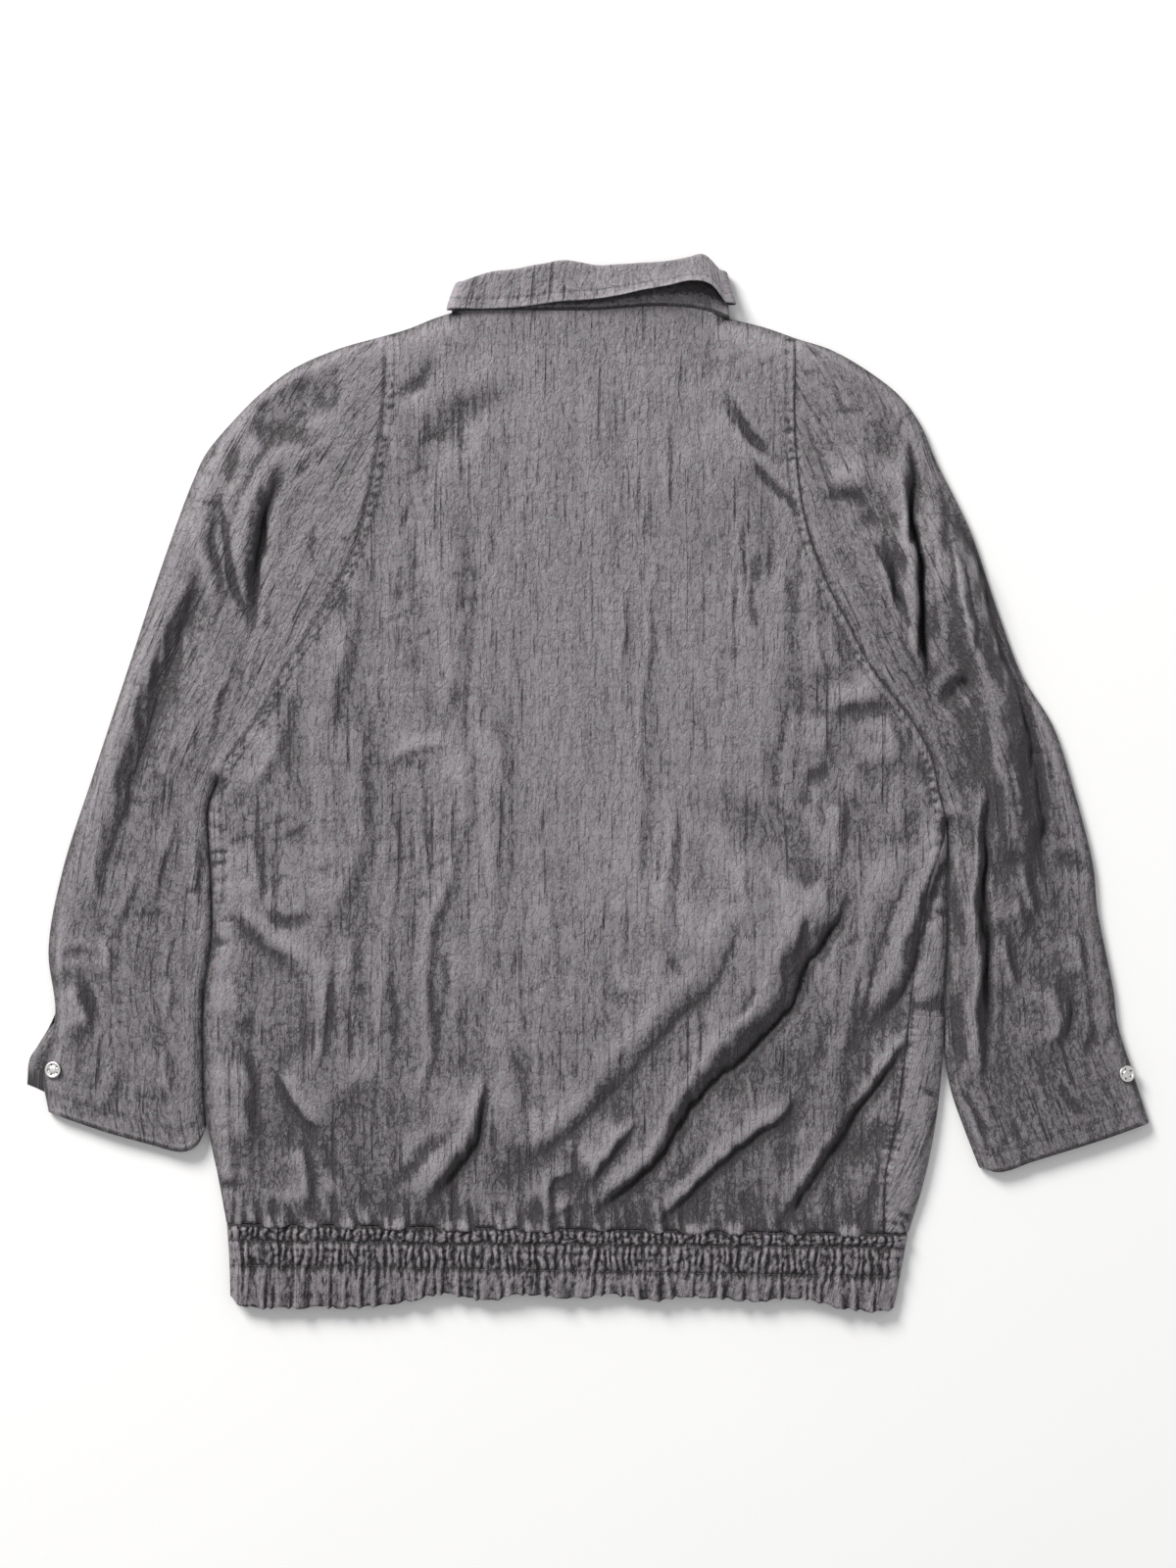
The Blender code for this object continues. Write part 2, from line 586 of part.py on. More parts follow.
def edge_normals(x, face_x):
    """Level normals on the folded edges: across the shoulder line, or out along face_x at an underarm."""
    slope = (back_top_y(x + 1.0) - back_top_y(x - 1.0)) / 2.0
    across = np.stack([-slope, np.ones(np.shape(x)), np.zeros(np.shape(x))], axis=-1)
    across = across / np.linalg.norm(across, axis=-1, keepdims=True)
    aside = np.stack([face_x, np.zeros(np.shape(x)), np.zeros(np.shape(x))], axis=-1)
    return np.where((face_x == 0.0)[..., None], across, aside)


# --- body -------------------------------------------------------------------------------------


def body_rows():
    """Fractions up the body of its grid rows, from the waist to the shoulder."""
    left_length = SHOULDER_LEFT_Y - WAIST_Y
    right_length = SHOULDER_RIGHT_Y - WAIST_RIGHT_Y
    mouth = (POCKET_MOUTH_Y - WAIST_Y) / left_length
    right = (UNDERARM_Y["right"] - WAIST_RIGHT_Y) / right_length
    left = (UNDERARM_Y["left"] - WAIST_Y) / left_length
    top = 1.0 - EDGE_STEPS[-1] / left_length
    rows = list(np.linspace(0.0, mouth, ROW_SPANS["pocket"] + 1))
    rows += list(np.linspace(mouth, right, ROW_SPANS["side"] + 1))[1:]
    rows += list(np.linspace(right, left, ROW_SPANS["between"] + 1))[1:]
    rows += list(np.linspace(left, top, ROW_SPANS["armhole"] + 1))[1:]
    rows += [1.0 - step / left_length for step in reversed(EDGE_STEPS[:-1])] + [1.0]
    return np.array(rows)


ROWS = body_rows()
LEFT_UNDERARM_ROW = ROW_SPANS["pocket"] + ROW_SPANS["side"] + ROW_SPANS["between"]
RIGHT_UNDERARM_ROW = ROW_SPANS["pocket"] + ROW_SPANS["side"]
MOUTH_ROW = ROW_SPANS["pocket"]


def left_row_y(row):
    return WAIST_Y + row * (SHOULDER_LEFT_Y - WAIST_Y)


def right_row_y(row):
    return WAIST_RIGHT_Y + row * (SHOULDER_RIGHT_Y - WAIST_RIGHT_Y)


def spread(anchors, counts):
    """Values between successive anchors, in the given numbers of even steps."""
    values = [anchors[0]]
    for start, end, count in zip(anchors[:-1], anchors[1:], counts):
        values += list(np.linspace(start, end, count + 1))[1:]
    return values


def back_points():
    """Outer points of the back, row by row from its left boundary to its right one."""
    grid = []
    neck_left = (NECK_LEFT_X - SHOULDER_LEFT_X) / (SHOULDER_RIGHT_X - SHOULDER_LEFT_X)
    neck_right = (NECK_RIGHT_X - SHOULDER_LEFT_X) / (SHOULDER_RIGHT_X - SHOULDER_LEFT_X)
    for k, row in enumerate(ROWS):
        y_left = left_row_y(row)
        y_right = right_row_y(row)
        start = float(left_x(y_left))
        below_right = k < RIGHT_UNDERARM_ROW
        end = float(seam_x(y_right) if below_right else right_x(y_right)) - SEAM_SHIFT
        width = end - start
        first = 0.0 if k < LEFT_UNDERARM_ROW else SEAM_SHIFT
        near = [first] + EDGE_STEPS
        far = [width - step for step in reversed(EDGE_STEPS[1:])] + [width]
        anchors = [near[-1], neck_left * width, neck_right * width, far[0]]
        counts = [BACK_COLUMNS["left"], BACK_COLUMNS["neck"], BACK_COLUMNS["right"]]
        offsets = near[:-1] + spread(anchors, counts) + far[1:]
        for offset in offsets:
            share = offset / width
            x_low = WAIST_LEFT_X + share * (WAIST_SEAM_X - WAIST_LEFT_X)
            x_high = SHOULDER_LEFT_X + share * (SHOULDER_RIGHT_X - SHOULDER_LEFT_X)
            y = waist_y(x_low) * (1.0 - row) + float(back_top_y(x_high)) * row
            if k == 0:
                y += SEAM_SHIFT
            if k == len(ROWS) - 1 and NECK_LEFT_X + 0.1 < start + offset < NECK_RIGHT_X - 0.1:
                y -= SEAM_SHIFT
            grid.append((start + offset, y, k))
        columns = len(offsets)
    return np.array(grid), columns


def make_back():
    grid, columns = back_points()
    x, y, row_index = grid.T
    last = len(ROWS) - 1
    column_index = np.arange(len(x)) % columns
    on_shoulder = (row_index == last) & (edge_distance(x, y, SILHOUETTE) < 0.3)
    at_left = (row_index <= LEFT_UNDERARM_ROW) & (column_index == 0)
    at_right = (row_index == RIGHT_UNDERARM_ROW) & (column_index == columns - 1)
    level = on_shoulder | at_left | at_right
    z = np.where(level, EDGE_LEVEL + 0.5 * LAYER_GAP, top_height(x, y, "body"))
    points = np.stack([x, y, z], axis=1)
    normals = slope_normals(lambda a, b: top_height(a, b, "body"), x, y, 1.0)
    clear = edge_distance(x, y, SILHOUETTE) > CLEAR_OF_EDGE
    border = (column_index == columns - 1) | (row_index == 0) | (row_index == last)
    border |= (column_index == 0) & (row_index > LEFT_UNDERARM_ROW)
    outward = np.where(at_left, -1.0, np.where(at_right, 1.0, 0.0))
    normals = np.where(level[:, None], edge_normals(x, outward), normals)
    cells = grid_cells(len(ROWS), columns)
    return make_wall("back", points, cells, WALL, "cloth", ((border & clear) | level, normals))


def front_points(side):
    """Outer points of a front, row by row from its overlap edge to its side boundary."""
    sign = -1.0 if side == "left" else 1.0
    centre_edge = CENTRE_X - sign * OVERLAP
    underarm_row = LEFT_UNDERARM_ROW if side == "left" else RIGHT_UNDERARM_ROW
    neck_x = NECK_LEFT_X if side == "left" else NECK_RIGHT_X
    top_x = SHOULDER_LEFT_X if side == "left" else SHOULDER_RIGHT_X
    waist_x = WAIST_LEFT_X if side == "left" else WAIST_RIGHT_X
    neck_share = (neck_x - centre_edge) / (top_x - centre_edge)
    grid = []
    for k in range(len(ROWS)):
        row = ROWS[k]
        y_side = left_row_y(row) if side == "left" else right_row_y(row)
        edge = float(left_x(y_side) if side == "left" else right_x(y_side))
        width = abs(edge - centre_edge)
        if side == "left":
            end = width if k < underarm_row else width - SEAM_SHIFT
            shares = (FRONT_SHARES["left"]["inner"], neck_share, FRONT_SHARES["left"]["outer"])
            anchors = [0.0, LAP_WIDTH] + [share * width for share in shares]
            if k <= MOUTH_ROW:
                anchors[2] = abs(LEFT_POCKET["inner_x"] - centre_edge)
                anchors[4] = abs(LEFT_POCKET["outer_x"] - centre_edge)
            offsets = spread(anchors + [end - EDGE_STEPS[-1]], FRONT_COLUMNS["left"])
            offsets += [end - step for step in EDGE_STEPS[1::-1]] + [end]
        else:
            if k < underarm_row:
                wrap = width + float(edge - seam_x(y_side)) - SEAM_SHIFT
                fold = width
            else:
                wrap = width - SEAM_SHIFT
                fold = wrap - LEAST_WRAP
            inner = width - POCKET_WIDTH if k <= MOUTH_ROW else FRONT_SHARES["right"]["inner"] * width
            outer = neck_share if k > MOUTH_ROW else FRONT_SHARES["right"]["low"]
            anchors = [0.0, LAP_WIDTH, inner, outer * width, fold - EDGE_STEPS[-1]]
            offsets = spread(anchors, FRONT_COLUMNS["right"]) + [fold - step for step in EDGE_STEPS[1::-1]]
            offsets += [fold] + [fold + (wrap - fold) * part for part in WRAP_STEPS]
        for offset in offsets:
            over = offset > width + 1e-9
            x = centre_edge + sign * (2.0 * width - offset if over else offset)
            share = abs(x - centre_edge) / width
            x_low = centre_edge + share * (waist_x - centre_edge)
            x_high = centre_edge + share * (top_x - centre_edge)
            y = waist_y(x_low) * (1.0 - row) + float(front_top_y(x_high)) * row
            if k == 0:
                y += SEAM_SHIFT
            if k == len(ROWS) - 1 and NECK_LEFT_X + 0.1 < x < NECK_RIGHT_X - 0.1:
                y -= SEAM_SHIFT
            grid.append((x, y, 1.0 if over else -1.0, k))
        columns = len(offsets)
    return np.array(grid), columns


def front_face(x, y, face, side):
    """Heights on a front's outer face: the raised underside, or the top where it wraps over."""
    under = under_height(x, y) + front_lift(x, y, side) * under_share(x, y)
    return np.where(face > 0.0, top_height(x, y, "body"), under)


def under_share(x, y):
    """Fades a front's lift out at the folded edges, where the edge level already carries it."""
    return smooth_step(edge_distance(x, y, SILHOUETTE) / UNDER_ROUND)


def make_front(side):
    grid, columns = front_points(side)
    x, y, face, row_index = grid.T
    z = front_face(x, y, face, side)
    last = len(ROWS) - 1
    distance = edge_distance(x, y, SILHOUETTE)
    column_index = np.arange(len(x)) % columns
    on_shoulder = (row_index == last) & (distance < 0.3)
    underarm_row = LEFT_UNDERARM_ROW if side == "left" else RIGHT_UNDERARM_ROW
    underarm = (row_index == underarm_row) & (column_index == columns - 1)
    if side == "left":
        underarm = (row_index <= underarm_row) & (column_index == columns - 1)
    level = on_shoulder | underarm
    z = np.where(level, EDGE_LEVEL - 0.5 * LAYER_GAP, z)
    points = np.stack([x, y, z], axis=1)
    border = (column_index == columns - 1) | (row_index == 0) | (row_index == last)
    from_below = slope_normals(lambda a, b: front_face(a, b, np.full(np.shape(a), -1.0), side), x, y, -1.0)
    from_above = slope_normals(lambda a, b: top_height(a, b, "body"), x, y, 1.0)
    normals = np.where(face[:, None] > 0.0, from_above, from_below)
    mask = border & (distance > CLEAR_OF_EDGE)
    outward = np.where(underarm, -1.0 if side == "left" else 1.0, 0.0)
    normals = np.where(level[:, None], edge_normals(x, outward), normals)
    mask |= level
    rows = len(ROWS)
    cells = grid_cells(rows, columns, flip=side == "right")
    return make_wall("front_" + side, points, cells, WALL, "cloth", (mask, normals))


# --- sleeves ----------------------------------------------------------------------------------


def armhole_points(side, row_numbers):
    """Armhole seam points from the shoulder down to the underarm, on the sleeve's side."""
    points = []
    for k in sorted(row_numbers, reverse=True):
        if side == "left":
            y = left_row_y(ROWS[k])
            points.append((float(left_x(y)) - SEAM_SHIFT, y))
        else:
            y = right_row_y(ROWS[k])
            points.append((float(right_x(y)) + SEAM_SHIFT, y))
    return np.array(points)


def sleeve_ends(side):
    """Each sleeve row's two ends, from the shoulder to the cuff: on the outer edge, and on the
    armhole seam down to the underarm and the inner edge below it. Also each row's share below."""
    spec = SLEEVES[side]
    lines = SLEEVE_LINES[side]
    underarm_row = LEFT_UNDERARM_ROW if side == "left" else RIGHT_UNDERARM_ROW
    seam = armhole_points(side, range(underarm_row, len(ROWS)))
    steps = np.linalg.norm(np.diff(seam, axis=0), axis=1)
    upper = np.concatenate([[0.0], np.cumsum(steps)]) / steps.sum()
    lower = spread([0.0, SLIT_SHARE, 1.0], [SLEEVE_ROWS["upper"], SLEEVE_ROWS["slit"]])[1:]
    lower = np.array(lower)
    split = spec["at_underarm"]
    outer = along(lines["outer"], np.concatenate([upper * split, split + (1.0 - split) * lower]))
    inner = np.vstack([seam, along(lines["inner"], lower)])
    return outer, inner, np.concatenate([np.zeros(len(upper)), lower]), len(upper) - 1


def sleeve_plan(side, middle):
    """Plan points of a sleeve, row by row from its outer edge across to its other end."""
    outer, inner, below, _ = sleeve_ends(side)
    cuff = SLEEVE_LINES[side]["cuff"]
    rows = []
    for start, end, share in zip(outer, inner, below):
        width = float(np.linalg.norm(end - start))
        scale = min(1.0, width / FULL_STEPS_WIDTH)
        near = [0.0] + [step * scale for step in EDGE_STEPS]
        far = [width - step * scale for step in EDGE_STEPS[:0:-1]] + [width]
        offsets = near[:-1] + spread([near[-1], far[0]], [middle]) + far[1:]
        if width < 1e-6:
            shares = np.zeros(len(offsets))
        else:
            shares = np.array(offsets) / width
        straight = start + shares[:, None] * (end - start)
        bow = along(cuff, shares) - (cuff[0] + shares[:, None] * (cuff[-1] - cuff[0]))
        rows.append(straight + share ** 3 * bow)
    return np.array(rows)


def make_sleeve(side):
    spec = SLEEVES[side]
    top = sleeve_plan(side, SLEEVE_MIDDLE["top"])
    under = sleeve_plan(side, SLEEVE_MIDDLE["under"])
    _, _, below, underarm = sleeve_ends(side)
    slit_row = underarm + SLEEVE_ROWS["upper"]
    open_share = np.clip((below - SLIT_SHARE) / (1.0 - SLIT_SHARE), 0.0, 1.0)[:, None]
    reach = np.linalg.norm(under - under[:, :1], axis=-1)
    under_z = under_height(under[..., 0], under[..., 1])
    flat = smooth_step(open_share * SLIT_ONSET) * np.exp(-((reach / SLIT_REACH) ** 2))
    under_z = under_z * (1.0 - flat)
    pull = open_share * np.exp(-((reach / FLAP_REACH) ** 2))
    under = under + pull[..., None] * np.array(spec["flap"])
    top_z = top_height(top[..., 0], top[..., 1], side)
    top_z[0] = EDGE_LEVEL
    points = []
    index_top = np.zeros(top.shape[:2], int)
    index_under = np.zeros(under.shape[:2], int)
    for i in range(len(top)):
        for j in range(top.shape[1]):
            if i == 0 and j > 0:
                index_top[i, j] = index_top[0, 0]
                continue
            index_top[i, j] = len(points)
            level = i == underarm and j == top.shape[1] - 1
            points.append((*top[i, j], EDGE_LEVEL if level else top_z[i, j]))
        for j in range(under.shape[1]):
            if i == 0 or (j == 0 and i <= slit_row):
                index_under[i, j] = index_top[i, 0]
            elif j == under.shape[1] - 1 and i >= underarm:
                index_under[i, j] = index_top[i, -1]
            else:
                index_under[i, j] = len(points)
                points.append((*under[i, j], under_z[i, j]))
    cells = []
    for i in range(len(top) - 1):
        for j in range(top.shape[1] - 1):
            cells.append((index_top[i, j], index_top[i, j + 1], index_top[i + 1, j + 1], index_top[i + 1, j]))
        for j in range(under.shape[1] - 1):
            cells.append((index_under[i, j], index_under[i + 1, j],
                          index_under[i + 1, j + 1], index_under[i, j + 1]))
    cells = [tuple(dict.fromkeys(int(k) for k in cell)) for cell in cells]
    cells = [cell for cell in cells if len(cell) > 2]
    if side == "left":
        cells = [tuple(reversed(cell)) for cell in cells]
    points = np.array(points)
    x, y = points[:, 0], points[:, 1]
    clear = edge_distance(x, y, SILHOUETTE) > CLEAR_OF_EDGE
    normals = slope_normals(lambda a, b: top_height(a, b, side), x, y, 1.0)
    from_below = slope_normals(under_height, x, y, -1.0)
    on_top = np.zeros(len(points), bool)
    on_top[index_top[1:underarm, -1]] = True
    below_seam = np.zeros(len(points), bool)
    below_seam[index_under[1:underarm, -1]] = True
    normals[below_seam] = from_below[below_seam]
    mask = (on_top | below_seam) & clear
    level = [index_top[0, 0], index_top[underarm, -1]]
    normals[level] = edge_normals(x[level], np.array([0.0, 1.0 if side == "left" else -1.0]))
    mask[level] = True
    return make_wall("sleeve_" + side, points, cells, WALL, "cloth", (mask, normals))


# --- waistband --------------------------------------------------------------------------------


def wave_shape(column, count):
    """Uneven ruffle and gather waves at a column: phases drift and heights vary along the band."""
    turn = math.tau * column / count
    drift = 0.9 * math.sin(5.1 * turn) + 0.7 * math.sin(11.3 * turn + 1.0)
    size = 0.78 + 0.22 * math.sin(7.3 * turn + 0.6) * math.cos(3.1 * turn)
    gather_size = 0.8 + 0.2 * math.sin(13.7 * turn)
    gather = gather_size if column % 2 else -gather_size
    return WAVE_STEPS[column % len(WAVE_STEPS)] * size, gather, drift


def make_waistband():
    left = smooth_line(BAND_EDGES["left"], 60)
    right = smooth_line(BAND_EDGES["right"], 60)
    top_count = RUFFLE_WAVES * len(WAVE_STEPS)
    points = []
    columns = 0
    for r, (y_left, y_right, height, gather, ruffle, wavy) in enumerate(WAIST_ROWS):
        x_left = float(np.interp(-y_left, -left[:, 0], left[:, 1]))
        x_right = float(np.interp(-y_right, -right[:, 0], right[:, 1]))
        width = x_right - x_left
        row = []
        half = [0.0] + EDGE_STEPS[:2]
        right_under = [x_right - step for step in half[::-1]]
        centre_right = CENTRE_X + BAND_END_GAP
        under = list(np.linspace(centre_right, x_right - BAND_UNDER_EDGE, BAND_UNDER_STEPS))
        under += right_under[:-1]
        row += [(x, -1.0, 0.0, 0.0) for x in under]
        for c in range(top_count + 1):
            column = top_count - c
            wave, pinch, drift = wave_shape(column, top_count)
            fade = min(1.0, column / WAVE_FADE, (top_count - column) / WAVE_FADE)
            x = x_left + width * column / top_count + drift * fade * WAVE_DRIFT
            row.append((x, 1.0, wave * fade, pinch * fade))
        centre_left = CENTRE_X - BAND_END_GAP
        under = [x_left + step for step in half[1:]]
        under += list(np.linspace(x_left + BAND_UNDER_EDGE, centre_left, BAND_UNDER_STEPS))
        row += [(x, -1.0, 0.0, 0.0) for x in under]
        columns = len(row)
        for x, face, wave, pinch in row:
            share = (x - x_left) / width
            y = y_left + share * (y_right - y_left)
            edge = max(min(x - x_left, x_right - x), 0.0)
            if face > 0.0:
                crown = height + ruffle * wave + gather * pinch
                z = EDGE_LEVEL + (crown - EDGE_LEVEL) * float(quarter_round(edge / BAND_ROUND))
                slow = math.sin(3.7 * math.tau * share) + 0.7 * math.sin(9.1 * math.tau * share + 0.5)
                y += wavy * (HEM_SWING * slow + HEM_WAVE * wave)
            else:
                z = EDGE_LEVEL * (1.0 - float(quarter_round(edge / UNDER_ROUND)))
            points.append((x, y, z))
    cells = grid_cells(len(WAIST_ROWS), columns)
    return make_wall("waistband", points, cells, BAND_WALL, "band")


# --- collar -----------------------------------------------------------------------------------


def top_row(grid, columns):
    """Plan points of a panel's top edge, in order of x."""
    row = grid[-columns:, :2]
    return row[np.argsort(row[:, 0])]


def seam_y(row, x):
    """Height in Y of the collar's seam at x: the panel's own top edge, and a gap square to it."""
    slope = np.abs(np.diff(row[:, 1]) / np.diff(row[:, 0]))
    place = int(np.searchsorted(row[:, 0], x - 0.01))
    steepest = float(slope[max(place - 1, 0):place + 1].max())
    return float(np.interp(x, row[:, 0], row[:, 1])) + 2.0 * SEAM_SHIFT * math.hypot(1.0, steepest)


def collar_half(side, back):
    """One side's stations from the front's centre round the neck corner, as (x, y, z, outward x,
    outward z, share of the way from the front to the back)."""
    sign = 1.0 if side == "right" else -1.0
    corner = NECK_RIGHT_X if side == "right" else NECK_LEFT_X
    half_height = 0.5 * (NECK_HEIGHT - FRONT_LIFT)
    front = top_row(*front_points(side))
    first = CENTRE_X + sign * BAND_END_GAP
    within = [x for x in front[:, 0] if sign * first < sign * x < sign * corner - 1.0]
    places = sorted([first, corner] + within, key=lambda x: sign * x)
    stations = [(x, seam_y(front, x), FRONT_LIFT, 0.0, -1.0, 0.0) for x in places]
    for angle in np.linspace(-0.5 * math.pi, 0.5 * math.pi, COLLAR_TURN_STEPS)[1:-1]:
        x = corner + sign * COLLAR_SIDE * math.cos(angle)
        z = FRONT_LIFT + half_height * (1.0 + math.sin(angle))
        out_x, out_z = half_height * math.cos(angle), COLLAR_SIDE * math.sin(angle)
        size = math.hypot(out_x, out_z)
        share = 0.5 + 0.5 * math.sin(angle)
        stations.append((x, seam_y(back, x), z, sign * out_x / size, out_z / size, share))
    stations.append((corner, seam_y(back, corner), NECK_HEIGHT, 0.0, 1.0, 1.0))
    return stations


def collar_stations():
    """Stations round the neck from the right front's centre over the back to the left front's."""
    back = top_row(*back_points())
    right = collar_half("right", back)
    left = collar_half("left", back)
    across = [x for x in back[::-1, 0] if left[-1][0] + 1.0 < x < right[-1][0] - 1.0]
    middle = [(x, seam_y(back, x), NECK_HEIGHT, 0.0, 1.0, 1.0) for x in across]
    return right + middle + left[::-1]


def collar_sizes(x, share):
    """Fold height, fall width and the fall's lift at a station."""
    table = np.array(COLLAR_BACK)
    fold, fall, lift = (float(np.interp(x, table[:, 0], table[:, k])) for k in (1, 2, 3))
    if share < 0.5:
        from_edge = min(x - NECK_LEFT_X, NECK_RIGHT_X - x)
        inward = float(smooth_step(from_edge / COLLAR_BLEND))
        fold += (COLLAR_FRONT_FOLD - fold) * inward
        fall += (COLLAR_FRONT_FALL - fall) * inward
    return fold, fall, lift * share * share


def collar_section(fold, fall, lift, turn):
    """Section of the collar as (height above the seam, distance outward): the stand's neck side,
    round the fold, and down the fall's outer side to its edge."""
    radius = 0.5 * (turn + WALL)
    section = [(0.0, -WALL), (0.5 * (fold - radius), -WALL)]
    for angle in np.linspace(0.0, math.pi, COLLAR_WALL_STEPS["fold"]):
        section.append((fold - radius + radius * math.sin(angle), turn - radius - radius * math.cos(angle)))
    for part in np.linspace(0.0, 1.0, COLLAR_WALL_STEPS["fall"] + 1)[1:]:
        section.append((fold - radius - fall * part, turn + lift * part * (0.6 + 0.4 * part)))
    return section


def make_collar():
    stations = collar_stations()
    rows = []
    for x, y, z, out_x, out_z, share in stations:
        turn = COLLAR_TURN["front"] + (COLLAR_TURN["back"] - COLLAR_TURN["front"]) * math.sqrt(share)
        middle = (x - NECK_LEFT_X) / (NECK_RIGHT_X - NECK_LEFT_X)
        lean = COLLAR_LEFT_LEAN * (1.0 - middle) ** 3 + COLLAR_RIGHT_LEAN * middle ** 3
        row = []
        for height, out in collar_section(*collar_sizes(x, share), turn):
            row.append((x + lean * height ** COLLAR_LEAN_POWER + out * out_x, y + height,
                        max(z + out * out_z, 0.0)))
        rows.append(row)
    points = [point for row in zip(*rows) for point in row]
    cells = grid_cells(len(rows[0]), len(stations))
    return make_wall("collar", points, cells, WALL, "cloth")


# --- pockets ----------------------------------------------------------------------------------


def make_pocket(side):
    """A patch pocket over its front: the front's own points in the pocket's field, moved out."""
    grid, columns = front_points(side)
    rows = range(MOUTH_ROW + 1)
    x, y, face, _ = (grid[:, k].reshape(-1, columns)[: len(rows)] for k in range(4))
    first = sum(FRONT_COLUMNS[side][:2])
    last = columns - 1 if side == "right" else sum(FRONT_COLUMNS["left"][:4])
    x, y, face = x[:, first:last + 1], y[:, first:last + 1], face[:, first:last + 1]
    z = front_face(x, y, face, side)
    points = np.stack([x, y, z], axis=-1).reshape(-1, 3)
    count = last + 1 - first
    cells = grid_cells(len(rows), count, flip=side == "right")
    normals = point_normals(points, split_cells(points, cells))
    moved = points + (LAYER_GAP + POCKET_WALL) * normals
    moved[:, 2] = np.maximum(moved[:, 2], 0.0)
    return make_wall("pocket_" + side, moved, cells, POCKET_WALL, "cloth")


# --- snaps ------------------------------------------------------------------------------------


def make_snap(name, centre, axis):
    """A press snap's cap: a rolled rim round a dished face with a small centre stud."""
    axis = np.asarray(axis, float) / np.linalg.norm(axis)
    side = np.cross(axis, (0.0, 1.0, 0.0))
    side = side / np.linalg.norm(side)
    ahead = np.cross(axis, side)
    points = []
    for radius, height in SNAP_PROFILE:
        for k in range(SNAP_SIDES):
            angle = math.tau * k / SNAP_SIDES
            points.append(centre + axis * height + radius * (math.cos(angle) * side + math.sin(angle) * ahead))
    faces = []
    for r in range(len(SNAP_PROFILE) - 1):
        for k in range(SNAP_SIDES):
            after = (k + 1) % SNAP_SIDES
            a, b = r * SNAP_SIDES + k, r * SNAP_SIDES + after
            faces += [(a, b, b + SNAP_SIDES), (a, b + SNAP_SIDES, a + SNAP_SIDES)]
    bottom = len(points)
    points.append(np.array(centre))
    top = len(points)
    points.append(centre + axis * SNAP_PROFILE[-1][1])
    start = (len(SNAP_PROFILE) - 1) * SNAP_SIDES
    for k in range(SNAP_SIDES):
        after = (k + 1) % SNAP_SIDES
        faces += [(bottom, after, k), (top, start + k, start + after)]
    return make_object(name, np.array(points), faces, "chrome")


def make_cuff_snap(side):
    x, y = CUFF_SNAPS[side]
    spot = np.array(x), np.array(y)
    z = float(top_height(spot[0], spot[1], side))
    axis = slope_normals(lambda a, b: top_height(a, b, side), spot[0], spot[1], 1.0)
    centre = np.array([x, y, z]) + axis * 2.0 * LAYER_GAP
    return make_snap("snap_cuff_" + side, centre, axis)


def make_front_snaps():
    for k, y in enumerate(np.linspace(FRONT_SNAP_TOP_Y, FRONT_SNAP_BOTTOM_Y, FRONT_SNAPS)):
        make_snap("snap_front_%d" % (k + 1), np.array([CENTRE_X, y, SNAP_HEIGHT]), (0.0, 0.0, -1.0))


def main():
    for old in list(bpy.data.objects):
        bpy.data.objects.remove(old, do_unlink=True)
    make_back()
    for side in ("left", "right"):
        make_front(side)
        make_sleeve(side)
        make_pocket(side)
        make_cuff_snap(side)
    make_collar()
    make_waistband()
    make_front_snaps()


main()
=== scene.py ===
"""Looks of the laid windbreaker jacket: every cloth piece is a fine sheet on its solid's form.

All plan sizes are in millimetres until a mesh is made.
"""

import math

import bmesh
import bpy
import numpy as np
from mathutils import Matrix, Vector
from mathutils.bvhtree import BVHTree


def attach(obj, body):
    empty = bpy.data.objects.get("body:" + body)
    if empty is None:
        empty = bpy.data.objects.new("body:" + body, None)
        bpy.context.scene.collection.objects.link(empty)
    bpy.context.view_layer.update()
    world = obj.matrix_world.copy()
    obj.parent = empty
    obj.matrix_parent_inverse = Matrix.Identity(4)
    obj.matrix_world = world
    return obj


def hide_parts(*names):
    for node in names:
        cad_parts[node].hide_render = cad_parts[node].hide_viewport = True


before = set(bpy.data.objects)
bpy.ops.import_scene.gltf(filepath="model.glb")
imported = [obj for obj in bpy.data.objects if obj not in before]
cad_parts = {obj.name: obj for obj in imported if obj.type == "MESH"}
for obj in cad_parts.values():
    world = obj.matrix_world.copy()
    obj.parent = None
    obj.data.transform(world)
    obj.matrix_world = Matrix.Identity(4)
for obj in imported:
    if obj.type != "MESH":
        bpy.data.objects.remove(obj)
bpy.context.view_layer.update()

MM = 0.001
SIDES = ("left", "right")
TINY = 1e-9

# --- form of the laid jacket, as in the solids --------------------------------------------------
# Lines in brackets are rows of (x, y), but the sides' and armholes' rows are (y, x), and the right
# side's third value is the x of the seam that lies on top. COLLAR_BACK's rows are x, height of the
# fold over the neck, width of the fall and how far its edge lifts.

EDGE_LEVEL = 3.5
TOP_ROUND = 13.0
UNDER_ROUND = 4.0
BODY_HEIGHT = 11.0
NECK_HEIGHT = 9.6
WAIST_HEIGHT = 10.4
CUFF_HEIGHT = 9.4
LEAST_HEIGHT = 8.2
FREE_DEPTH = 2.8
WALL = 1.2
LAYER_GAP = 0.3
SLEEVE_BLEND = {"from": 250.0, "over": 110.0}
WAIST_BLEND = 60.0
NECK_BLEND = {"half_width": 85.0, "over": 70.0}
ARMHOLE_BLEND = 40.0
WAIST_Y = -322.6
WAIST_RIGHT_Y = -330.3
WAIST_SLOPE = -0.0155
WAIST_LEFT_X = -265.0
WAIST_SEAM_X = 219.0
WAIST_RIGHT_X = 236.0
LEFT_SIDE = [
    (WAIST_Y, -265), (-290, -271), (-250, -279), (-205, -281.5), (-160, -281.5),
    (-115, -275.5), (-70, -276), (-17, -278), (2, -271),
]
